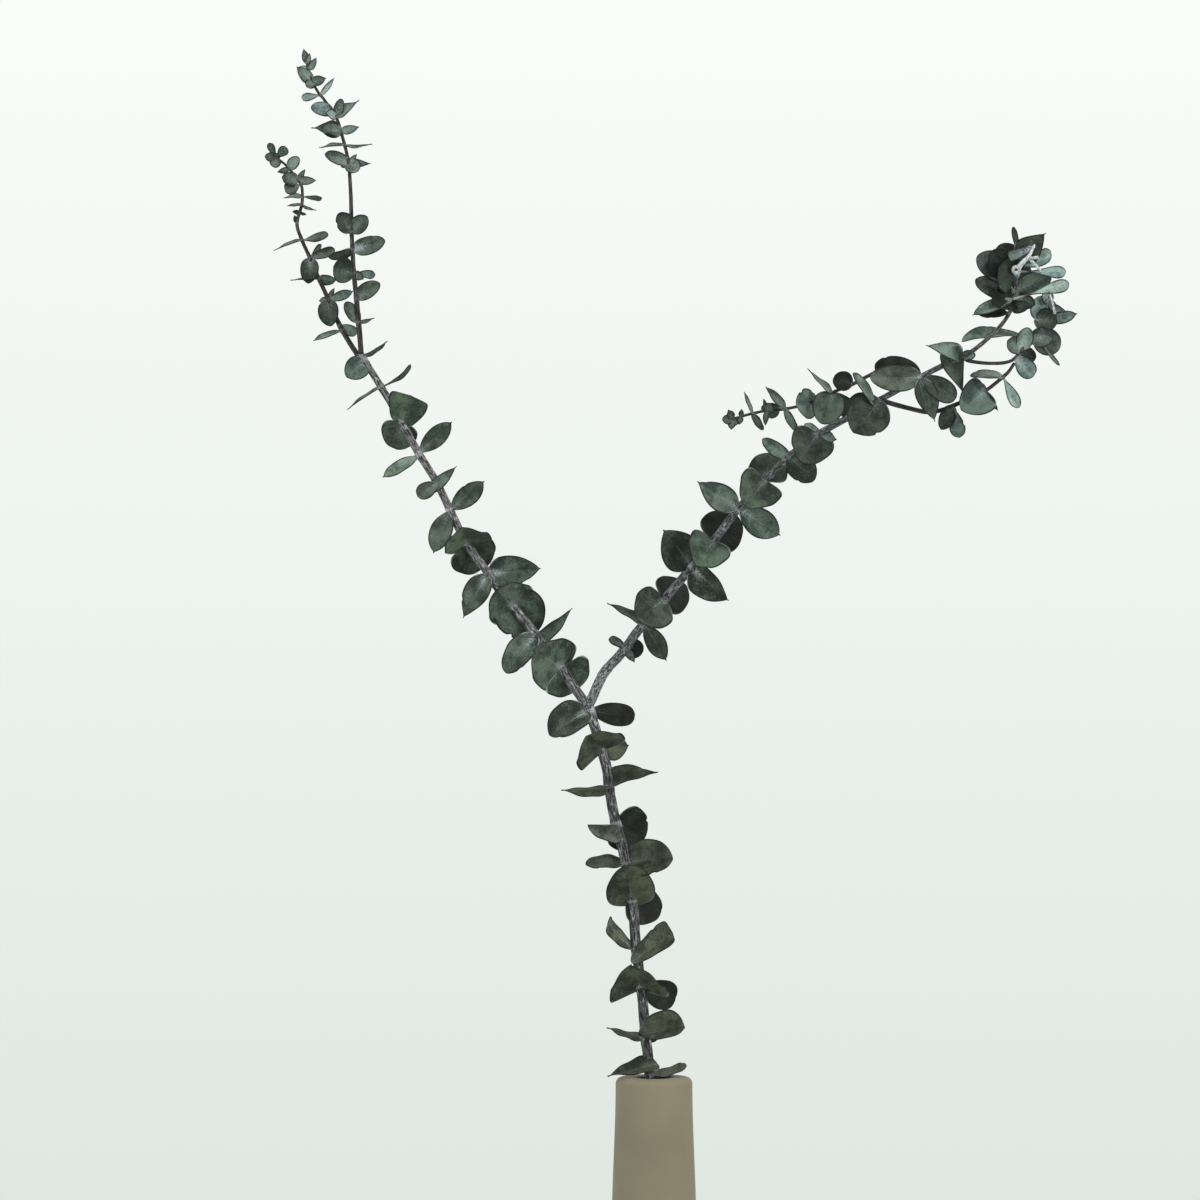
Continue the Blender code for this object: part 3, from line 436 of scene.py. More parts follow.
def outline_share(kind, t):
    """The outline's half width at t along the leaf, as a share of its widest."""
    near, far = OUTLINES[kind]
    widest = near / (near + far)
    return (t / widest) ** near * ((1.0 - t) / (1.0 - widest)) ** far


def leaf_habit(chance, length, width):
    """What sets one leaf apart from the next, drawn in this order."""
    return {
        "sway": chance.uniform(-0.025, 0.025) * length,
        "skew": chance.uniform(-0.05, 0.05),
        "cup": chance.uniform(0.00, 0.16),
        "twist": math.radians(chance.uniform(-9.0, 9.0)),
        "wave": chance.uniform(0.012, 0.034) * width,
        "nick": chance.uniform(0.62, 0.92),
        "nick_depth": chance.choice((0.0, 0.0, 0.0, 0.10, 0.16)),
        "nick_side": chance.choice((-1.0, 1.0)),
        "phase": chance.uniform(0.0, math.tau),
        "shade": chance.uniform(0.86, 1.16),
        "warmth": chance.uniform(-0.05, 0.05),
    }


def leaf_tint(tone, habit):
    """A leaf's colour and its share of bloom. A plus after the tone stands for full bloom."""
    (red, green, blue), bloom = TONES[tone.rstrip("+")]
    shade, warmth = habit["shade"], habit["warmth"]
    bloom = 1.0 if tone.endswith("+") else bloom
    return red * shade * (1.0 + warmth), green * shade, blue * shade * (1.0 - warmth), bloom


def grid_count(size, fewest, most, per_mm):
    """How many rows or half columns a blade of this size in mm has."""
    return int(min(most, max(fewest, size * per_mm)))


def half_width(kind, t, u, width, habit):
    """The blade's half width at t along the leaf, on u's side of its midrib."""
    skew = 1.0 + habit["skew"] * (1.0 if u > 0.0 else -1.0)
    half = width / 2.0 * outline_share(kind, t) * skew
    if u * habit["nick_side"] > 0.0:
        half *= 1.0 - habit["nick_depth"] * math.exp(-((t - habit["nick"]) / NICK_LENGTH) ** 2)
    return max(half, STALK_HALF_WIDTH * (1.0 - t) ** 3, TIP_HALF_WIDTH)


def add_leaf(shape, layers, root, tip, plan, tone, chance):
    """One thin blade: outline, fold, bend, a sunk midrib, a waved edge and a short point."""
    width, roll, fold, bend, behind, kind = plan
    along = (tip - root).normalized()
    root = root - along * behind * MM
    length = (tip - root).length / MM
    to_viewer = Vector((0.0, -1.0, 0.0))
    facing = (to_viewer - along * to_viewer.dot(along)).normalized()
    facing.rotate(Matrix.Rotation(math.radians(roll), 3, along))
    side = along.cross(facing)
    size = max(length, width)
    rows = grid_count(size, *BLADE_ROWS)
    columns = 2 * grid_count(width, *HALF_COLUMNS)
    lift = math.radians(fold)
    turn = math.radians(bend if abs(bend) > LEAST_BEND else LEAST_BEND)
    chord = length / (2.0 * math.sin(turn / 2.0))
    habit = leaf_habit(chance, length, width)
    tint = leaf_tint(tone, habit)
    point = TIP_POINT * min(1.0, size / TIP_POINT_SIZE) if OUTLINES[kind][1] > BLUNT_TIP else 0.0
    sunk = min(1.0, size / MIDRIB_SIZE)
    verts = bmesh.ops.create_grid(shape, x_segments=columns, y_segments=rows, size=1.0)["verts"]
    for vert in verts:
        t = 0.5 - 0.5 * math.cos(math.pi * (vert.co.y + 1.0) / 2.0)
        u = vert.co.x - COLUMN_CROWD * math.sin(math.tau * vert.co.x) / math.tau
        half = half_width(kind, t, u, width, habit)
        flank = abs(u) * half
        angle = turn * (t - 0.5)
        ahead = chord * (math.sin(angle) + math.sin(turn / 2.0)) + (point if t > TIP_ROW else 0.0)
        rise = chord * (math.cos(angle) - math.cos(turn / 2.0))
        rise += flank * math.sin(lift) + habit["cup"] * u * u * half
        rise -= MIDRIB_DEPTH * math.exp(-(flank / MIDRIB_HALF_WIDTH) ** 2) * (1.0 - t) * sunk
        ripple = EDGE_WAVES * t + habit["phase"] + (EDGE_LAG if u > 0.0 else 0.0)
        rise += habit["wave"] * u * u * math.sin(ripple)
        lean = habit["twist"] * (t - 0.5)
        flat = (u * half + habit["sway"] * math.sin(math.pi * t)) * math.cos(lift)
        over = flat * math.cos(lean) - rise * math.sin(lean) * LEAN_SHARE
        rise += flat * math.sin(lean)
        vert.co = root + (along * ahead + side * over + facing * rise) * MM
        vert[layers["blade"]] = Vector((u * half, t * length, half))
        vert[layers["share"]] = Vector((abs(u), t, habit["phase"]))
        vert[layers["tone"]] = tint
    faces = list({face for vert in verts for face in vert.link_faces})
    bmesh.ops.recalc_face_normals(shape, faces=faces)
    for vert in verts:
        vert.normal_update()
    for vert in verts:
        vert.co += vert.normal * BLADE_THICKNESS * MM / 2.0
    bmesh.ops.solidify(shape, geom=faces, thickness=BLADE_THICKNESS * MM)


def leafy_shoot(name, route, radii, leaves, bark, sides=TWIG_SIDES, packed=None):
    """A stem piece and a leaves piece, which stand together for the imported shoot."""
    line = smooth_route(route)
    nodes = sorted({nearest_on(line, leaf[0]) for leaf in leaves})
    seed = sum(ord(letter) for letter in name)
    stem = wooden_stem(name + "_wood", line, radii, nodes, bark, sides, seed * NOISE_SHIFT)
    chance = random.Random(seed)
    shape = bmesh.new()
    layers = {
        "blade": shape.verts.layers.float_vector.new("blade_place"),
        "share": shape.verts.layers.float_vector.new("blade_share"),
        "tone": shape.verts.layers.float_color.new("leaf_tone"),
    }
    for place, reach, *plan, tone in leaves:
        across, height, *forward = place
        joint = line[nearest_on(line, place)]
        depth = joint.y - sum(forward)
        root = in_place(joint.x, depth, joint.z)
        tip = in_place(across + reach[0], depth - reach[2], height + reach[1])
        add_leaf(shape, layers, root, tip, plan, tone, chance)
    bmesh.ops.recalc_face_normals(shape, faces=shape.faces)
    foliage = into_scene(name + "_leaves", shape, LEAF_SKIN)
    for piece in (stem, foliage):
        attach(piece, "root")
        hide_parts(packed or name)


def bark_finish(name, ground, streak, bloom, dusting, draw=0.16, thick=None):
    """Bark: dark streaks along the stem, pale bloom in patches and round each node.

    Dusting is the share of the patches that shows. Draw is the fibres' fineness along the
    stem, as a share of that round it. Thick is a run of thick bloom: its middle and half length
    in mm along the stem.
    """
    bark = Finish(name)
    skin = bark.named("bark_place")
    collar = bark.named("collar", "Fac")
    drawn = bark.node("ShaderNodeMapping", {}, {"Vector": skin, "Scale": (1.0, 1.0, draw)})
    fibres = bark.grain(drawn, 1.25, 5.0, 0.75)
    patches = bark.grain(skin, 0.30, 3.0, 0.6)
    dust = bark.grain(skin, 2.6, 3.0, 0.7)
    colour = bark.mix(bark.rise(0.8 * fibres + 0.2 * dust, 0.44, 0.55), streak, ground)
    cover = bark.rise(0.5 * patches + 0.9 * fibres + 0.3 * dust, 0.88, 1.03) * dusting
    rings = bark.rise(collar + 1.4 * dust, 1.30, 1.90) * 0.6
    if thick:
        middle, half_length = thick
        distance = bark.axes(skin)[2] - middle
        away = distance.math("ABSOLUTE", distance)
        near = 1.0 - bark.rise(away, 0.4 * half_length, half_length)
        rings = rings + near * bark.rise(fibres + 0.4 * dust, 0.60, 0.80) * 0.7
    colour = bark.mix(bark.rise(cover + rings, 0.0, 1.0), colour, bloom)
    bark.set({
        "Base Color": colour,
        "Roughness": 0.58 + 0.2 * fibres,
        "Normal": bark.bump(fibres + 0.5 * dust, BARK_GRAIN_MM, 1.0),
        "Specular IOR Level": 0.20,
    })
    return bark


# The leaf's skin, with edges and reaches in mm of the blade. The tones are multiplied by the
# painted-shade and the painted-light colour, and veins, bloom and rim are laid over them.
LEAF_SHADED = (0.43, 0.49, 0.49, 1.0)
LEAF_LIT = (1.52, 1.53, 1.47, 1.0)
LEAF_BLOOM = (0.400, 0.460, 0.460, 1.0)
LEAF_RIM = (0.008, 0.009, 0.009, 1.0)
LEAF_RIM_BY_ROOT = (0.300, 0.340, 0.330, 1.0)
LEAF_GRAIN_MM = 0.26
VEIN_SLANT = 0.85
VEINS_PER_MM = 0.42
VEIN_END = (0.3, 1.4)
MIDRIB_EDGE = (0.16, 0.55)
RIM_EDGE = (0.12, 0.68)
BLOOM_LENGTH = (1.5, 12.0)
BLOOM_WIDTH = (0.3, 3.2)


def leaf_skin():
    """Waxy leaf skin: midrib, side veins, a dark rim and pale bloom, thickest by the root."""
    leaf = Finish("leaf_skin")
    across, along, half = leaf.axes(leaf.named("blade_place"))
    _, t, chance = leaf.axes(leaf.named("blade_share"))
    tone = leaf.named("leaf_tone", "Color")
    bloom = leaf.named("leaf_tone", "Alpha")
    place = leaf.place()
    from_rib = across.math("ABSOLUTE", across)
    from_edge = half - from_rib
    # The side veins slant forward from the midrib, wander a little and end short of the edge.
    wander = leaf.grain(place, 150.0, 2.0)
    lanes = (along - VEIN_SLANT * from_rib) * VEINS_PER_MM + 1.2 * wander + chance
    ridge = lanes.math("PINGPONG", lanes, 0.5) * 2.0
    veins = leaf.rise(ridge, 0.80, 1.0) * leaf.rise(from_edge, *VEIN_END)
    rib = 1.0 - leaf.rise(from_rib + 0.25 * t, *MIDRIB_EDGE)
    # Painted light and shade lie in clouds, streaks and mottling; one half may be painted lighter.
    fan = {0: lanes * 3.0, 1: from_rib * 0.22, 2: along * 0.07 + chance}
    brushed = leaf.grain(leaf.node("ShaderNodeCombineXYZ", {}, fan), 1.5, 4.0, 0.65)
    cloud = leaf.grain(place, 120.0, 3.0, 0.55)
    mottle = leaf.grain(place, 420.0, 5.0, 0.72)
    dust = leaf.grain(place, 1100.0, 3.0, 0.7)
    painted_half_light = (leaf.rise(across, -1.2, 1.2) - 0.5) * chance.math("COSINE", chance)
    light = leaf.rise(0.50 * cloud + 0.20 * brushed + 0.30 * mottle + 0.09 * painted_half_light, 0.41, 0.59)
    shaded = leaf.mix(1.0, tone, LEAF_SHADED, "MULTIPLY")
    lit = leaf.mix(1.0, tone, LEAF_LIT, "MULTIPLY")
    colour = leaf.mix(light, shaded, lit)
    colour = leaf.mix(0.30 * veins, colour, lit)
    # The bloom lies in brushed streaks by the root and the midrib, and as a fine powder all over.
    by_rib = 1.0 - leaf.rise(from_rib, *BLOOM_WIDTH)
    streak = (1.0 - leaf.rise(along, *BLOOM_LENGTH)) * by_rib * leaf.rise(brushed, 0.34, 0.62)
    powder = leaf.rise(dust + 0.6 * cloud, 0.80, 1.02)
    frost = bloom * bloom * streak + bloom * (0.16 * powder + 0.36 * rib * (1.0 - t))
    colour = leaf.mix(frost, colour, LEAF_BLOOM)
    # The rim is nearly black, and pale with bloom beside the root.
    rim = 1.0 - leaf.rise(from_edge - 0.03 * half, *RIM_EDGE)
    by_root = 1.0 - leaf.rise(t, 0.10, 0.26)
    colour = leaf.mix(0.85 * rim, colour, LEAF_RIM)
    colour = leaf.mix(rim * by_root * bloom, colour, LEAF_RIM_BY_ROOT)
    leaf.set({
        "Base Color": colour,
        "Roughness": 0.44 + 0.16 * mottle + 0.10 * powder,
        "Normal": leaf.bump(0.3 * veins + 0.6 * mottle + 0.7 * rib + 0.4 * brushed,
                            LEAF_GRAIN_MM, 0.9),
        "Specular IOR Level": 0.18,
    })
    return leaf


LEAF_SKIN = leaf_skin()
BARK_GREY = bark_finish("bark_grey", (0.110, 0.108, 0.112, 1.0), (0.014, 0.013, 0.015, 1.0),
                        (0.400, 0.405, 0.425, 1.0), 0.80, thick=(415.0, 40.0))
MAIN_STEM_ROUTE = [
    (19.0, -12.0, -219.2), (8.6, -3.5, -108.0), (-2.0, 5.4, 1.0), (-4.0, 7.0, 18.5),
    (-5.8, 8.6, 38.5), (-9.0, 11.0, 66.0), (-10.5, 12.4, 83.5), (-15.0, 15.0, 111.0),
    (-19.5, 16.6, 128.5), (-22.5, 18.0, 145.0), (-24.0, 19.0, 156.0), (-29.2, 20.6, 173.5),
    (-33.5, 21.8, 187.8),
]
# A leaf stands at (across, height), and a third number there sets it forward of the wood. Its
# tip lies (right, up, towards the viewer) from there. Then come its width, its roll about the
# midrib, fold and bend in degrees, its reach behind the root, its outline and its tone.
MAIN_STEM_LEAVES = [
    ((-2.0, 4.7, 6.0), (-20.4, -4.0, 7), 15, 61, 6, 4, 4.5, "wedge", "moss"),
    ((-2.0, 2.2), (18.2, 3.2, 3), 11.5, -72, 8, -38, 0, "blunt", "olive"),
    ((-4.5, 20.0), (-18.3, 4.4, 3), 14, -68, 6, 0, 0, "wedge", "olive"),
    ((-4.5, 22.0, 5.5), (19.8, 2.8, 7), 20, -36, 36, 14, 4, "blunt", "moss"),
    ((-4.0, 20.5), (5.5, -1.5, -2), 5, 0, 0, 0, 0, "round", "deep"),
    ((-6.5, 44.0), (-4.7, 11.6, 14), 32, -20, 20, 10, 2, "shield", "olive"),
    ((-6.5, 44.0), (17.2, -4.2, -12), 15.5, 0, 8, 0, 0, "blunt", "deep"),
    ((-8.5, 64.0), (-14.6, 13.0, 6), 12.5, 56, 0, -45, 0, "cut", "khaki"),
    ((-8.5, 60.5, 4.5), (17.6, 11.8, 5), 15.5, -40, 10, 10, 4, "cut", "olive"),
    ((-10.5, 87.5), (-3.0, 18.0, 14), 25, 4, -6, 12, 2.5, "heart", "moss"),
    ((-10.5, 87.5), (14.0, -3.6, -12), 21, -12, 8, 0, 4, "heart", "deep"),
    ((-13.5, 106.5), (-20.6, -0.2, 2), 12, 60, 6, 8, 0, "round", "moss"),
    ((-13.5, 106.5), (22.8, 2.8, 6), 22, -30, 20, 10, 0, "round", "moss"),
    ((-11.5, 127.2, 5.5), (-21.5, -1.2, 3), 17, -44, 44, 4, 2, "shield", "khaki"),
    ((-18.0, 127.0), (13.0, -8.0, -13), 24.5, 0, 8, 0, 1, "heart", "deep"),
    ((-22.5, 145.0), (-23.0, -1.5, 3), 13, -62, 12, 10, 0, "wedge", "olive"),
    ((-22.5, 145.0), (23.6, 7.2, 4), 17, -44, 42, 8, 0, "wedge", "moss"),
    ((-25.5, 165.5, 2.6), (-8.0, 4.8, 13), 29, -14, 14, 12, 3, "heart", "moss"),
    ((-25.5, 165.0), (12.2, 0.8, -9), 13.5, 0, 8, 0, 0, "ovate", "moss"),
    ((-32.0, 183.5), (-20.0, -12.8, 6), 20, 25, 25, 14, 0, "round", "dusk+"),
    ((-32.0, 183.5), (22.2, -3.4, -3), 12.5, -18, 10, -14, 0, "blunt", "deep"),
]
leafy_shoot("main_stem", MAIN_STEM_ROUTE, (2.75, 2.6), MAIN_STEM_LEAVES, BARK_GREY, sides=20)

# The left limb carries on the main stem's line past the fork. Its leaves stand in crossed pairs,
# a pair to the sides and then a pair towards and away from the viewer.
BARK_LIMB = bark_finish("bark_limb", (0.205, 0.200, 0.210, 1.0), (0.021, 0.019, 0.022, 1.0),
                        (0.450, 0.445, 0.470, 1.0), 0.95, 0.22)
LEFT_LIMB_ROUTE = [
    (-33.5, 21.8, 187.0), (-35.3, 22.5, 188.4), (-39.8, 24.0, 194.7), (-46.5, 27.0, 204.5),
    (-59.0, 31.0, 221.0), (-70.0, 34.5, 235.0), (-78.5, 37.0, 244.8), (-82.8, 38.5, 251.8),
    (-93.5, 42.0, 266.5), (-102.0, 45.0, 283.5), (-109.0, 47.5, 298.0), (-117.8, 50.0, 312.0),
    (-126.0, 52.5, 327.5), (-136.5, 55.5, 345.0), (-147.0, 58.2, 361.8),
]
LEFT_LIMB_LEAVES = [
    ((-46.0, 204.2), (-14.0, 8.0, 14), 28.5, 0, -6, 10, 4, "heart", "fern+"),
    ((-46.0, 204.2), (8.6, -9.6, -10), 27, 0, 8, 0, 0, "shield", "green+"),
    ((-59.0, 220.5), (17.5, 13.2, 3), 12.5, 42, 42, 0, 0, "wedge", "bright"),
    ((-59.0, 220.5), (-15.0, -18.4, 4), 16, 22, 22, 14, 0, "round", "fern+"),
    ((-70.0, 235.5), (-8.6, 8.2, 17), 27, 0, -4, 10, 2, "shield", "fern+"),
    ((-70.0, 235.5), (10.3, -13.6, -3), 26.8, 0, 8, 0, 9, "round", "green+"),
    ((-82.5, 252.0), (25.0, 2.2, 6), 16.5, -8, 12, 12, 0, "ovate", "green+"),
    ((-82.5, 252.0), (-12.6, -21.8, 5), 14.5, 14, 20, 12, 0, "pointed", "fern+"),
    ((-93.5, 266.5), (-3.0, 8.0, 20), 25, 0, 6, 8, 2, "heart", "bright"),
    ((-93.5, 266.5), (8.0, -12.0, -13), 25, 0, 8, 0, 0, "heart", "dusk"),
    ((-102.0, 283.0), (16.5, 14.4, 4), 10.8, 8, 12, 10, 0, "lance", "green"),
    ((-102.0, 283.0), (-8.0, -20.3, 4), 12.5, 10, 20, 10, 0, "lance", "fern"),
    ((-108.5, 296.0, 2.6), (9.2, 8.8, 5), 6.5, 0, 8, 0, 9, "pointed", "sage"),
    ((-108.5, 296.0, 2.8), (-9.5, -6.0, 4), 9, 10, 16, 0, 0, "blunt", "fern"),
    ((-117.5, 312.0), (15.8, 15.0, 3), 10.2, 5, 10, 8, 0, "lance", "fern"),
    ((-117.0, 311.0), (-18.0, -10.8, 3), 8, 34, 12, 8, 0, "lance", "sage"),
    ((-125.5, 327.5), (3.6, 13.2, 12), 20.5, 0, 0, 8, 3, "cut", "bright"),
    ((-125.5, 327.5), (-4.0, -13.2, -10), 19, 0, 8, 0, 0, "heart", "green"),
    ((-136.5, 345.0), (14.6, 11.2, 3), 9, 80, 4, 34, 0, "spoon", "dusk"),
    ((-136.9, 344.0), (-15.8, -9.8, 3), 9.5, 80, 4, 8, 0, "ovate", "slate"),
    ((-144.5, 357.5), (-9.4, -7.4, 8), 12.5, 0, 10, 10, 0, "round", "slate"),
    ((-146.0, 360.5), (12.0, 7.0, 2), 8, 80, 4, 16, 0, "ovate", "green"),
    ((-145.0, 358.5), (-8.4, -1.0, 2), 5, 30, 6, 0, 0, "ovate", "teal"),
]
leafy_shoot("left_limb", LEFT_LIMB_ROUTE, (2.4, 1.75), LEFT_LIMB_LEAVES, BARK_LIMB, sides=18)

# The outer twig on the left is thin, dark, purplish wood with small leaves that crowd together
# at its tip. Its young leaves are bluer than the old ones.
BARK_TWIG = bark_finish("bark_twig", (0.060, 0.050, 0.056, 1.0), (0.014, 0.012, 0.014, 1.0),
                        (0.240, 0.235, 0.250, 1.0), 0.40)
LEFT_OUTER_TWIG_ROUTE = [
    (-146.4, 58.2, 358.5), (-148.6, 59.5, 361.6), (-156.5, 62.5, 374.5), (-162.7, 65.5, 388.5),
    (-167.5, 67.5, 399.0), (-172.0, 69.5, 409.5), (-176.0, 71.0, 418.5), (-178.5, 72.0, 426.5),
    (-176.2, 72.5, 435.7), (-175.8, 72.8, 440.0), (-176.2, 73.0, 445.5), (-178.5, 73.2, 449.0),
    (-182.7, 73.5, 454.5), (-186.0, 73.8, 457.5), (-189.5, 74.0, 459.8),
]
LEFT_OUTER_TWIG_LEAVES = [
    ((-156.0, 373.2), (-13.6, -4.8, 2), 6.5, 60, 8, 6, 0, "lance", "sage"),
    ((-157.0, 375.2), (8.6, -3.2, 1), 6, 10, 8, 0, 0, "blunt", "sage"),
    ((-162.5, 388.6), (11.6, 4.2, 2), 5.5, 20, 8, 24, 0, "lance", "sage"),
    ((-162.5, 389.0), (0.5, -13.6, 7), 11, 0, 14, 12, 0, "round", "dusk"),
    ((-162.5, 389.0), (2.5, 5.2, -2), 3, 30, 0, 0, 0, "ovate", "slate"),
    ((-162.5, 389.0), (-4.8, -1.0, 1), 4, 20, 0, 0, 0, "ovate", "slate"),
    ((-167.5, 399.0), (-13.5, -0.5, 2), 8, 78, 4, 6, 0, "narrow", "sage"),
    ((-167.5, 399.0), (8.5, -0.5, 2), 7, 42, 6, 0, 0, "ovate", "fern"),
    ((-172.0, 409.5), (12.2, 4.6, 2), 5.5, 20, 8, 10, 0, "blunt", "fern"),
    ((-172.0, 409.5), (5.5, 7.0, 1), 3, 40, 0, 0, 0, "spoon", "slate"),
    ((-172.0, 409.5), (-0.8, -12.6, 6), 9.8, 0, 12, 10, 0, "round", "green"),
    ((-176.0, 418.5), (-13.5, -5.0, 2), 8, 74, 4, 10, 0, "narrow", "fern"),
    ((-176.0, 418.5), (13.0, 2.2, 4), 8, -48, 8, -10, 0, "spoon", "fern"),
    ((-178.0, 427.0), (-1.8, 3.6, 1), 3, 30, 0, 0, 0, "ovate", "deep"),
    ((-177.0, 432.5), (-3.6, 0.2, 1), 2.6, 20, 0, 0, 0, "ovate", "deep"),
    ((-177.0, 432.5), (3.0, -1.2, 1), 2.6, 60, 0, 0, 0, "ovate", "deep"),
    ((-176.0, 436.0), (-7.0, -0.4, 1), 5, 70, 4, 0, 0, "ovate", "fern"),
    ((-176.0, 436.0), (6.8, -2.6, 1), 5, 76, 4, 10, 0, "narrow", "teal"),
    ((-175.8, 440.0), (-9.0, -0.4, 2), 8, 66, 8, 10, 0, "narrow", "teal"),
    ((-175.8, 440.0), (9.6, -0.3, 2), 6, 70, 8, -8, 0, "spoon", "sage"),
    ((-177.0, 446.2), (-7.4, -3.4, 3), 7.5, 10, 12, 0, 0, "spoon", "fern"),
    ((-178.0, 448.5), (8.8, -0.2, 3), 4.6, 10, 8, 8, 0, "ovate", "sage"),
    ((-178.0, 448.5), (-8.0, 1.2, 4), 7.6, 0, 12, 10, 0, "round", "slate"),
    ((-178.0, 448.5), (3.4, 5.0, 1), 3, 20, 0, 0, 0, "ovate", "slate"),
    ((-182.5, 454.3), (4.8, 5.6, 3), 6.2, 0, 8, 6, 0, "round", "teal"),
    ((-182.5, 454.3), (-5.6, -1.8, 1), 3.4, 10, 0, 0, 0, "ovate", "dusk"),
    ((-189.0, 459.6), (-3.6, 7.4, 2), 4, 0, 8, 0, 0, "spoon", "dusk"),
    ((-189.0, 459.6), (5.4, 5.0, 3), 5.6, 10, 8, 0, 0, "spoon", "green"),
    ((-189.0, 459.6), (-5.6, 0.6, 3), 5, 0, 8, 0, 0, "round", "dusk"),
    ((-189.0, 459.6), (-0.2, -5.0, 3), 6, 0, 8, 0, 0, "round", "slate"),
    ((-189.0, 459.6), (0.6, 2.2, 4), 4, 0, 8, 0, 0, "round", "dusk"),
]
leafy_shoot("left_outer_twig", LEFT_OUTER_TWIG_ROUTE, (1.4, 0.6), LEFT_OUTER_TWIG_LEAVES,
            BARK_TWIG)

# The inner twig on the left stands upright and ends highest. It has a bare run below its tip,
# where the last small leaves are close together.
LEFT_INNER_TWIG_ROUTE = [
    (-146.4, 58.2, 360.0), (-146.6, 57.2, 363.5), (-147.7, 54.5, 377.5), (-148.8, 52.0, 389.5),
    (-150.1, 50.0, 402.0), (-150.8, 48.0, 414.0), (-151.2, 47.0, 422.5), (-151.5, 45.0, 438.5),
    (-152.2, 44.0, 451.5), (-152.6, 43.5, 457.0), (-155.5, 43.0, 469.0), (-159.0, 42.5, 480.0),
    (-165.2, 42.0, 489.0), (-167.6, 42.0, 491.8), (-170.7, 42.0, 497.5), (-172.5, 42.0, 503.0),
    (-174.0, 42.0, 508.0),
]
LEFT_INNER_TWIG_LEAVES = [
    ((-147.6, 377.0), (-6.8, 10.2, 3), 8, 28, 10, 0, 0, "round", "fern"),
    ((-147.6, 377.0), (7.5, 2.4, 2), 5, 70, 4, 0, 0, "narrow", "slate"),
    ((-148.8, 389.5), (11.6, 7.4, 4), 8.6, 4, 10, 10, 0, "round", "fern"),
    ((-150.0, 402.0), (-10.2, 3.0, 7), 13.5, 0, 8, 12, 1, "blunt", "dusk"),
    ((-150.0, 402.0), (4.6, -3.0, 2), 5, 20, 6, 0, 0, "ovate", "green"),
    ((-150.0, 402.0), (10.6, -1.0, 0), 5, 26, 6, 0, 0, "spoon", "teal"),
    ((-150.8, 414.0), (16.2, 4.2, 4), 9.8, -8, 10, 10, 0, "round", "green+"),
    ((-150.8, 414.0), (-11.8, -4.2, -4), 9, -62, 10, 0, 0, "round", "dusk"),
    ((-151.1, 422.5), (-6.4, 9.4, 4), 9.8, 0, 10, 8, 0, "round", "dusk"),
    ((-151.1, 422.5), (7.8, 7.6, 4), 9.2, 0, 10, 8, 0, "round", "fern"),
    ((-152.5, 457.0), (-11.9, 4.8, 4), 6.6, 0, 6, -10, 0, "round", "slate"),
    ((-152.5, 457.0), (4.6, -4.2, 4), 8.4, -10, 8, 8, 0, "round", "sage"),
    ((-152.5, 457.0), (10.4, -0.4, 2), 5, 0, 8, 0, 0, "wedge", "sage"),
    ((-152.5, 457.0), (3.8, 4.2, 1), 2.8, 20, 0, 0, 0, "ovate", "slate"),
    ((-152.5, 457.0), (-4.2, -1.0, -2), 5, 20, 6, 0, 0, "round", "sage"),
    ((-154.6, 465.5), (-12.4, -0.8, 2), 9, 74, 6, 8, 0, "narrow", "sage"),
    ((-154.6, 465.5), (13.0, 0.8, 2), 7, 84, 6, 6, 0, "narrow", "teal"),
    ((-156.5, 472.5), (-14.0, 2.0, 3), 12, 44, 10, 18, 0, "narrow", "fern"),
    ((-156.5, 472.5), (-9.4, 1.6, 6), 8, 0, 10, 8, 0, "round", "slate"),
    ((-156.5, 472.5), (8.6, 2.4, 2), 5, 28, 8, 8, 0, "ovate", "teal"),
    ((-156.5, 472.5), (-2.8, -2.6, 1), 3, 20, 0, 0, 0, "round", "slate"),
    ((-160.0, 482.6), (-11.4, 2.2, 3), 8, 20, 10, 20, 0, "round", "teal"),
    ((-158.6, 480.0), (10.6, 8.0, 3), 7.5, -30, 14, -10, 0, "narrow", "sage"),
    ((-158.6, 480.0), (2.4, 9.0, 3), 5.4, 0, 8, 0, 0, "round", "green"),
    ((-158.6, 480.0), (-5.0, 2.4, 6), 5, 20, 8, 0, 0, "round", "frost"),
    ((-167.0, 490.8), (-9.2, -1.2, 1), 4.4, 0, 6, 0, 0, "spoon", "teal"),
    ((-167.0, 490.8), (6.8, 8.4, 1), 3.4, 40, 4, 20, 0, "ovate", "frost"),
    ((-170.7, 497.5), (-7.6, 7.2, 3), 7, 20, 10, -10, 0, "ovate", "sage"),
    ((-170.7, 497.5), (-2.8, -2.6, 4), 5.6, 0, 8, 0, 0, "round", "slate"),
    ((-170.7, 497.5), (6.4, 1.8, 3), 5.4, 10, 10, 0, 0, "ovate", "slate"),
    ((-172.6, 503.5), (3.6, 5.8, 1), 4, 30, 8, -10, 0, "ovate", "sage"),
    ((-172.6, 503.5), (-4.4, 1.8, 1), 3, 20, 0, 0, 0, "ovate", "teal"),
    ((-173.6, 506.5), (-1.6, 7.4, 0), 4, 0, 10, 0, 0, "pointed", "green"),
    ((-173.6, 506.5), (1.4, 5.2, 2), 3, 30, 8, 0, 0, "ovate", "teal"),
]
leafy_shoot("left_inner_twig", LEFT_INNER_TWIG_ROUTE, (1.45, 0.6), LEFT_INNER_TWIG_LEAVES,
            BARK_TWIG)

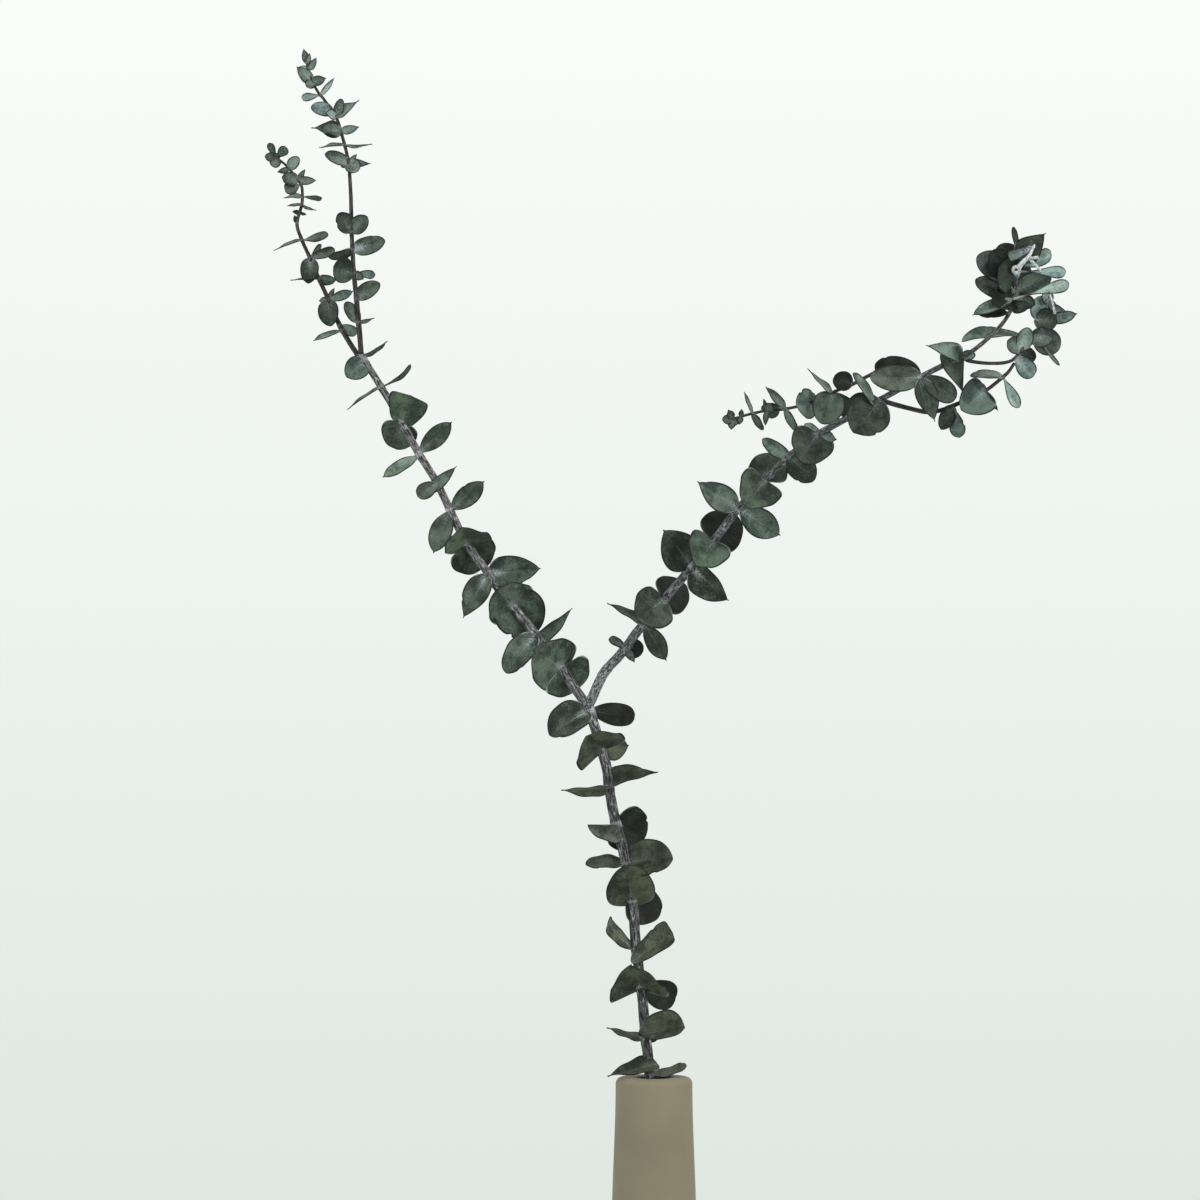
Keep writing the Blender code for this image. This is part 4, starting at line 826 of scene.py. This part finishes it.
# The right limb leaves the fork with bare wood under a bluish bloom, and bends over to the right
# under its large leaves.
BARK_BLOOM = bark_finish("bark_bloom", (0.150, 0.157, 0.165, 1.0), (0.021, 0.022, 0.024, 1.0),
                         (0.360, 0.385, 0.405, 1.0), 0.80, 0.35, (6.0, 34.0))
RIGHT_LIMB_ROUTE = [
    (-34.0, 21.8, 184.5), (-31.0, 20.8, 189.4), (-27.4, 18.0, 197.6), (-23.8, 15.5, 203.6),
    (-15.4, 11.0, 212.9), (-8.7, 7.0, 222.2), (-5.0, 5.0, 226.5), (5.0, 0.0, 238.5),
    (15.0, -4.5, 250.5), (19.0, -6.5, 255.0), (29.5, -11.5, 267.5), (42.3, -18.0, 284.2),
    (55.5, -24.0, 298.2), (67.5, -29.0, 310.2), (81.5, -34.0, 321.0), (94.0, -38.0, 328.0),
    (113.0, -43.0, 338.5), (130.5, -47.0, 348.5), (144.5, -49.5, 355.8), (155.0, -51.0, 360.4),
]
RIGHT_LIMB_LEAVES = [
    ((-14.5, 215.0), (-8.0, 4.2, 1), 6.5, 48, 8, 0, 0, "blunt", "green"),
    ((-14.5, 215.0), (9.2, -0.6, 0), 10, 0, 8, 0, 0, "round", "deep"),
    ((-14.5, 215.0), (4.6, -7.4, 2), 4.6, 0, 6, 0, 0, "ovate", "dusk"),
    ((-4.8, 226.5), (-17.8, 10.0, 1), 10, 62, 8, 0, 0, "wedge", "green"),
    ((-4.8, 226.5), (10.6, -17.6, 2), 10.5, 10, 14, 8, 0, "lance", "dusk"),
    ((4.5, 238.5), (-12.6, -10.2, 15), 22.5, 0, 6, 14, 0.5, "round", "green"),
    ((4.5, 238.5), (11.8, 7.0, -15), 21, 0, -8, 0, 0, "heart", "deep"),
    ((19.0, 255.0), (-13.8, 17.9, 5), 20.5, 0, 12, 10, 0, "ovate", "dusk"),
    ((19.0, 255.0), (17.6, -16.2, 5), 17.4, 28, 24, 8, 0, "ovate", "dusk+"),
    ((29.5, 267.5), (-8.1, -12.2, 15), 22.5, 0, 6, 14, 1, "heart", "bright"),
    ((29.5, 267.5), (12.2, 12.8, -14), 23, 0, -8, 0, 0, "heart", "deep"),
    ((42.5, 284.5), (-20.2, 12.8, 4), 14, 0, 14, 8, 0, "pointed", "sage+"),
    ((42.5, 284.5), (20.0, -13.2, 4), 15, 0, 14, 8, 0, "lance", "green+"),
    ((55.5, 298.2), (-9.6, -12.6, 15), 22.5, 0, 6, 14, 0.5, "heart", "green"),
    ((55.5, 298.2), (3.4, 13.6, -13), 20, 0, -8, 0, 0, "heart", "dusk"),
    ((67.8, 310.5), (-13.4, 8.6, 3), 7.5, -14, 14, 8, 0, "round", "sage"),
    ((67.8, 310.5), (12.0, -12.4, 4), 14.5, -10, 14, 8, 0, "round", "dusk"),
    ((82.0, 321.0), (-8.4, -13.6, 14), 22, 0, 6, 14, 1, "heart", "dusk"),
    ((82.0, 321.0), (8.8, -2.2, 2), 7.6, 0, 8, 0, 0, "ovate", "slate"),
    ((82.0, 321.0), (-6.0, 5.8, -4), 7, 46, 8, 0, 0, "round", "sage"),
    ((113.0, 338.0), (-13.2, -15.8, 12), 22, 0, 12, 14, 0, "round", "dusk"),
    ((110.0, 337.0, 3.0), (-10.5, 14.6, 12), 8, 50, 10, 0, 0, "round", "sage"),
    ((110.0, 337.0), (-13.5, -2.6, 3), 12, 10, 12, 10, 0, "round", "green"),
    ((110.0, 337.0), (-10.0, -9.5, 1), 7, 10, 8, 0, 0, "round", "deep"),
    ((132.0, 351.6), (-24.0, -1.6, 7), 13.5, 0, 12, 16, 0, "round", "fern"),
    ((132.0, 350.8), (18.6, -11.8, 5), 11.5, 0, 12, 8, 0, "blunt", "dusk"),
    ((132.0, 350.8), (8.2, -22.3, 4), 11.5, 0, 14, 8, 0, "pointed", "green"),
    ((154.0, 360.0), (-17.2, 5.6, 4), 11, 35, 10, 16, 0, "wedge", "sage"),
    ((151.5, 359.0), (2.6, -15.8, 3), 17, 36, 37, -8, 6, "wedge", "fern"),
    ((154.0, 360.0), (6.6, 1.6, 3), 5.4, 10, 8, 0, 0, "round", "sage"),
    ((132.0, 350.8), (-21.5, 5.0, 1), 15, 0, 8, 6, 0, "round", "deep"),
]
leafy_shoot("right_limb", RIGHT_LIMB_ROUTE, (2.6, 1.3), RIGHT_LIMB_LEAVES, BARK_BLOOM, sides=18)

# The back twig is a thin side shoot that runs to the left over the right limb, and ends in a
# tight head of tiny leaves.
BACK_TWIG_ROUTE = [
    (133.0, -47.4, 349.9), (131.2, -45.2, 350.9), (123.0, -40.5, 354.8), (116.0, -37.0, 354.5),
    (107.0, -33.0, 350.5), (98.5, -28.0, 346.0), (89.0, -23.5, 342.2), (78.0, -19.0, 337.0),
    (65.5, -15.0, 334.0), (56.5, -12.5, 333.2), (49.3, -10.5, 331.8), (43.4, -9.0, 330.2),
    (38.5, -8.0, 328.8),
]
BACK_TWIG_LEAVES = [
    ((99.5, 346.4), (-9.6, 3.2, -3), 10, 0, 8, 0, 0, "round", "deep"),
    ((89.0, 342.2), (-11.6, 11.4, 1), 7, 62, 8, -14, 0, "narrow", "sage"),
    ((89.0, 342.2), (-4.8, -15.6, 6), 16.5, 0, 12, 12, 0, "round", "fern"),
    ((89.0, 342.2), (11.5, -12.0, -7), 9.5, 0, 8, 0, 0, "blunt", "green"),
    ((78.0, 337.0), (-6.8, -0.8, 8), 15.5, 0, 6, 6, 3, "round", "sage"),
    ((78.0, 337.0), (-1.5, 5.5, -4), 7, 10, 8, 0, 0, "round", "sage"),
    ((65.5, 334.0), (-9.2, 10.6, 2), 7, 48, 8, -10, 0, "ovate", "green"),
    ((65.5, 334.0), (6.2, -10.8, 2), 6, 50, 8, -10, 0, "round", "sage"),
    ((56.5, 333.2), (1.6, 3.6, 6), 7, 0, 8, 0, 1, "heart", "green"),
    ((56.5, 333.2), (6.2, 0.2, -4), 8, 0, 8, 0, 0, "heart", "green"),
    ((56.5, 333.2), (-1.6, 5.6, 1), 3.4, 50, 0, 0, 0, "ovate", "dusk"),
    ((56.5, 333.2), (-0.8, -7.2, 1), 3.4, 30, 0, 0, 0, "ovate", "dusk"),
    ((49.3, 331.8), (-4.0, 10.2, 1), 5, 66, 6, -10, 0, "ovate", "sage"),
    ((49.3, 331.8), (5.4, -8.2, 1), 6, 56, 8, -24, 0, "round", "dusk"),
    ((43.4, 330.2), (0.4, 3.6, 1), 2.8, 20, 0, 0, 0, "ovate", "dusk"),
    ((43.4, 330.2), (-0.8, -3.8, 1), 3.4, 20, 0, 0, 0, "ovate", "dusk"),
    ((39.0, 329.0), (-4.8, -0.6, 3), 5, 0, 8, 0, 0, "round", "dusk"),
    ((39.0, 329.0), (-1.8, 4.4, 2), 4.4, 20, 8, 0, 0, "ovate", "dusk"),
    ((39.0, 329.0), (-0.4, -5.2, 2), 4.4, 0, 8, 0, 0, "ovate", "dusk"),
    ((39.0, 329.0), (3.0, -2.6, 2), 4, 20, 8, 0, 0, "round", "dusk"),
]
leafy_shoot("back_twig", BACK_TWIG_ROUTE, (1.0, 0.65), BACK_TWIG_LEAVES, BARK_TWIG)

# The lower twig hangs under the right limb's end and turns up again. It is as thin and dark as
# the other twigs, with bluish leaves below it.
LOWER_TWIG_ROUTE = [
    (113.0, -43.2, 338.6), (115.8, -41.6, 337.6), (125.0, -40.0, 335.0), (135.5, -38.5, 332.6),
    (142.0, -39.0, 333.0), (149.5, -41.0, 335.6), (156.5, -43.0, 338.8), (165.5, -45.0, 343.0),
    (174.5, -47.0, 350.0), (177.6, -47.6, 353.0), (180.2, -48.2, 357.0),
]
LOWER_TWIG_LEAVES = [
    ((149.5, 335.8), (-5.8, -12.0, 4), 8.2, 0, 10, 8, 0, "round", "dusk"),
    ((149.5, 335.8), (3.4, -16.0, 5), 8, 10, 10, 8, 0, "spoon", "slate+"),
    ((165.5, 343.0), (-11.9, -9.4, 9), 19, 0, 12, 12, 1, "heart", "slate"),
    ((165.5, 343.0), (6.2, -9.4, 1), 4.8, 46, 8, 0, 0, "ovate", "dusk"),
    ((165.5, 343.0), (-6.0, 5.4, -3), 6, 60, 8, 0, 0, "ovate", "sage"),
    ((174.5, 350.0), (-16.4, 0.4, 2), 8, 56, 8, 30, 0, "round", "mauve"),
    ((174.5, 350.0), (8.0, -15.2, 4), 6.2, 18, 12, 6, 0, "spoon", "frost"),
]
leafy_shoot("lower_twig", LOWER_TWIG_ROUTE, (1.3, 0.8), LOWER_TWIG_LEAVES, BARK_TWIG)

# The outer twig reaches furthest right, and turns up at its end. Its young leaves are the
# palest, under thick bloom.
OUTER_TWIG_ROUTE = [
    (154.6, -51.0, 360.0), (156.8, -49.9, 358.2), (163.0, -47.5, 357.2), (169.0, -45.5, 356.8),
    (175.5, -44.0, 357.2), (180.0, -43.5, 359.0), (184.0, -43.5, 364.0), (188.0, -43.5, 369.0),
    (193.0, -43.5, 374.5), (197.0, -43.5, 382.5), (198.0, -43.5, 389.0),
]
OUTER_TWIG_LEAVES = [
    ((181.0, 360.0), (8.6, -9.8, 4), 9.5, 8, 10, 8, 0, "blunt", "teal+"),
    ((181.0, 360.0), (7.4, -3.0, -3), 5.6, 10, 8, 0, 0, "round", "teal"),
    ((184.0, 364.0), (-7.2, 4.4, 3), 9, 0, 10, 8, 0, "round", "slate"),
    ((184.0, 364.0), (3.2, 10.6, 5), 8.5, 0, 8, 0, 0, "round", "teal+"),
    ((188.0, 369.0), (-34.0, -1.2, 1), 12, 58, 12, 40, 0, "spoon", "sage"),
    ((188.0, 369.0), (11.5, 1.8, 6), 10, 0, -10, 8, 0, "round", "slate+"),
    ((190.5, 371.8), (11.9, -8.2, -2), 13.5, 0, 8, 8, 0, "round", "slate"),
    ((190.5, 371.8), (12.2, -16.0, 0), 2.4, 40, 6, 12, 0, "spoon", "frost"),
    ((195.0, 378.5, 2.5), (6.6, -0.4, 1), 11.8, 0, -8, 0, 5.0, "round", "dusk"),
    ((195.0, 378.5), (-1.5, 12.0, 0), 14, 10, 8, 0, 1, "round", "teal+"),
    ((195.0, 378.5), (15.8, 3.0, 3), 6.4, 10, 12, -14, 0, "lance", "teal+"),
    ((197.6, 386.0), (9.0, -4.6, 1), 4.6, 20, 10, 10, 0, "ovate", "teal"),
    ((197.8, 388.0), (-3.6, 3.4, 3), 6.2, 0, 10, 8, 0.5, "ovate", "slate+"),
    ((197.8, 388.0), (1.0, 4.2, 1), 3.2, 20, 8, 0, 0, "ovate", "frost"),
    ((184.0, 364.0), (6.4, -5.6, -2), 6.8, 0, 8, 0, 0, "round", "deep"),
]
leafy_shoot("outer_twig", OUTER_TWIG_ROUTE, (0.95, 0.65), OUTER_TWIG_LEAVES, BARK_TWIG)

# The top spray is the crowded end of the right limb: large leaves in painted shade round a stem
# that is white with bloom, and two pale young leaves that reach out to the right.
TOP_SPRAY_ROUTE = [
    (154.6, -51.0, 360.0), (159.7, -53.2, 363.3), (165.0, -54.4, 367.6), (170.5, -55.5, 372.5),
    (175.5, -57.0, 378.5), (178.5, -58.0, 384.0), (180.5, -58.5, 392.0), (181.5, -58.5, 402.0),
    (183.0, -58.0, 410.0),
]
TOP_SPRAY_LEAVES = [
    ((180.0, 389.0, 3.0), (-20.0, -7.8, 5), 8.5, 35, 25, 6, 0, "lance", "sage"),
    ((178.5, 384.0), (9.0, 2.5, 8), 6.5, 10, 10, 10, 0, "round", "dusk"),
    ((180.0, 390.0), (-19.3, 8.4, 4), 10.5, 0, 10, 8, 0, "round", "stone"),
    ((180.0, 390.0), (-11.0, -3.0, 9), 14, 10, 10, 8, 1, "heart", "deep"),
    ((180.0, 390.0), (10.5, -3.6, 4), 8, 20, 10, -8, 0, "round", "dusk+"),
    ((180.5, 393.0), (18.0, 7.0, 3), 11, -10, 14, 8, 0, "round", "fern"),
    ((181.2, 400.0), (-19.6, 10.2, 3), 15, 0, 10, 8, 0, "round", "stone"),
    ((181.2, 400.0), (-9.0, 3.0, 13), 18, 0, -8, 8, 1, "heart", "dusk"),
    ((181.2, 400.0), (-7.2, 16.6, -2), 15, 0, 10, 8, 0, "round", "night"),
    ((181.2, 400.0), (8.0, 1.0, -10), 16, 0, 8, 0, 0, "heart", "night"),
    ((183.0, 410.0), (12.2, 11.4, 1), 14, 0, 14, 10, 0, "wedge", "dusk"),
    ((182.4, 407.0), (4.5, 9.5, 7), 9, 10, 10, 0, 0, "round", "mauve"),
    ((182.4, 407.0), (16.0, 5.0, -3), 9, 20, 8, 0, 0, "blunt", "frost"),
    ((182.8, 409.0), (-3.2, 16.0, 0), 3.2, 20, 8, 0, 0, "spoon", "dusk"),
    ((181.6, 403.0, 3.0), (24.2, -0.6, 4), 6.3, 12, 10, 6, 0, "paddle", "frost"),
    ((180.0, 389.0, 6.0), (27.4, 7.6, 2), 6.8, 14, 10, -10, 0, "paddle", "frost"),
    ((177.5, 382.0), (-15.0, -0.8, 1), 7, 30, 20, 0, 0, "lance", "deep"),
    ((181.2, 400.0), (-12.5, 13.0, 7), 15, 0, 8, 8, 0, "round", "night"),
]
leafy_shoot("top_spray", TOP_SPRAY_ROUTE, (1.15, 0.8), TOP_SPRAY_LEAVES, BARK_GREY)

# A stripped twig, white with bloom, stands out in front of the top spray. It starts at a stub cut
# square with a dark pith, and ends in a spike that carries one pale blade.
WHITE_TWIG_ROUTE = [
    (181.4, -67.5, 403.4), (183.6, -68.4, 406.4), (187.2, -68.8, 410.2), (189.0, -68.4, 413.2),
    (190.3, -68.0, 416.2),
]
WHITE_TWIG_LEAVES = [
    ((189.4, 415.0), (-12.0, -5.0, -3), 5.6, 0, 8, 0, 0, "cut", "slate+"),
]
BARK_WHITE = bark_finish("bark_white", (0.660, 0.710, 0.720, 1.0), (0.260, 0.280, 0.285, 1.0),
                         (0.800, 0.845, 0.855, 1.0), 0.9, 0.5)
PITH = bark_finish("pith", (0.060, 0.055, 0.050, 1.0), (0.030, 0.028, 0.026, 1.0),
                   (0.200, 0.200, 0.200, 1.0), 0.1)
leafy_shoot("white_twig", WHITE_TWIG_ROUTE, (1.5, 0.5), WHITE_TWIG_LEAVES, BARK_WHITE,
            packed="top_spray")

# The small white pieces round it, and a white tip by the outer twig: name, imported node, bark,
# radius at each end, and route.
WHITE_SEED = 3.0
WHITE_PIECES = [
    ("white_shoot", "top_spray", BARK_WHITE, (0.8, 0.6),
     [(187.0, -68.8, 410.0), (190.4, -67.0, 406.4), (193.8, -64.5, 402.6)]),
    ("white_nub", "top_spray", BARK_WHITE, (0.5, 0.9),
     [(187.6, -68.8, 409.6), (190.0, -69.2, 409.6), (192.2, -69.6, 409.9)]),
    ("white_stub", "top_spray", BARK_WHITE, (1.3, 2.3),
     [(181.6, -58.5, 401.0), (181.4, -65.0, 402.4), (181.1, -70.4, 403.7)]),
    ("white_pith", "top_spray", PITH, (0.8, 0.8),
     [(181.15, -69.0, 403.4), (181.12, -70.0, 403.6), (181.1, -70.6, 403.75)]),
    ("white_tip", "outer_twig", BARK_WHITE, (0.7, 0.5),
     [(200.3, -46.5, 381.5), (199.4, -47.2, 386.2), (197.8, -47.6, 391.4)]),
]
for name, packed, bark, radii, route in WHITE_PIECES:
    twig = wooden_stem(name, smooth_route(route), radii, [], bark, TWIG_SIDES, WHITE_SEED)
    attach(twig, "root")
    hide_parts(packed)

# The room: a plain pale floor that fades out at its rim, near-white air all round, and soft
# light from large panels. None of it belongs to the branch.
FLOOR_RADIUS = 1.15
FLOOR_FADE = 0.55
FLOOR_DROP = 0.0004
FLOOR_COLOUR = (0.62, 0.65, 0.62, 1.0)
AIR_BAND = 0.13
LOW_AIR = (0.730, 0.800, 0.740, 1.0)
HIGH_AIR = (0.960, 0.985, 0.965, 1.0)


def floor_finish():
    """Pale matt floor whose rim fades into the air behind it."""
    floor = Finish("studio_floor")
    x, y, _ = floor.axes(floor.place())
    square = x * x + y * y
    far = square.math("SQRT", square)
    floor.material.surface_render_method = "BLENDED"
    floor.set({
        "Base Color": FLOOR_COLOUR,
        "Roughness": 0.9,
        "Alpha": 1.0 - floor.rise(far, FLOOR_RADIUS - FLOOR_FADE, FLOOR_RADIUS),
        "Specular IOR Level": 0.1,
    })
    return floor


disc = bmesh.new()
bmesh.ops.create_circle(disc, cap_ends=True, cap_tris=True, segments=96, radius=FLOOR_RADIUS)
bmesh.ops.translate(disc, verts=disc.verts, vec=(0.0, 0.0, -FLOOR_DROP))
into_scene("studio_floor", disc, floor_finish())

air = Finish("studio_air", "worlds", "Background")
height = air.axes(air.node("ShaderNodeTexCoord", {}, {}, "Generated"))[2]
band = {"Value": height, "From Min": -AIR_BAND, "From Max": AIR_BAND}
upward = air.node("ShaderNodeMapRange", {}, band)
air.set({"Color": air.mix(upward, LOW_AIR, HIGH_AIR), "Strength": 1.0})
bpy.context.scene.world = air.material


def light_panel(name, place, target, size, power, colour):
    """A large soft panel that faces its target."""
    lamp = bpy.data.lights.new(name, "AREA")
    lamp.shape = "RECTANGLE"
    lamp.size, lamp.size_y = size
    lamp.energy = power
    lamp.color = colour
    panel = bpy.data.objects.new(name, lamp)
    panel.location = place
    panel.rotation_euler = (Vector(target) - Vector(place)).to_track_quat("-Z", "Y").to_euler()
    bpy.context.scene.collection.objects.link(panel)


PANEL_SIZE = (1.4, 1.4)
light_panel("window_light", (1.5, -1.5, 1.5), (0.0, 0.0, 0.45), PANEL_SIZE, 26.0,
            (1.0, 0.99, 0.97))
light_panel("fill_light", (-1.6, -1.2, 0.9), (0.0, 0.0, 0.4), PANEL_SIZE, 7.0,
            (0.95, 0.98, 1.0))

# The camera stands level, as far off as the branch is laid out for, and takes in the same
# frame as the photograph.
PICTURE_MM = 600.0
SENSOR_MM = 36.0
lens = bpy.data.cameras.new("camera")
lens.sensor_width = SENSOR_MM
lens.lens = SENSOR_MM * SIGHT_DISTANCE / PICTURE_MM
lens.clip_end = 20.0
camera = bpy.data.objects.new("camera", lens)
camera.location = Vector((SIGHT_ACROSS, -SIGHT_DISTANCE, SIGHT_HEIGHT + BOTTLE_HEIGHT)) * MM
camera.rotation_euler = (math.radians(90.0), 0.0, 0.0)
bpy.context.scene.collection.objects.link(camera)
bpy.context.scene.camera = camera
bpy.context.scene.view_settings.view_transform = "Standard"
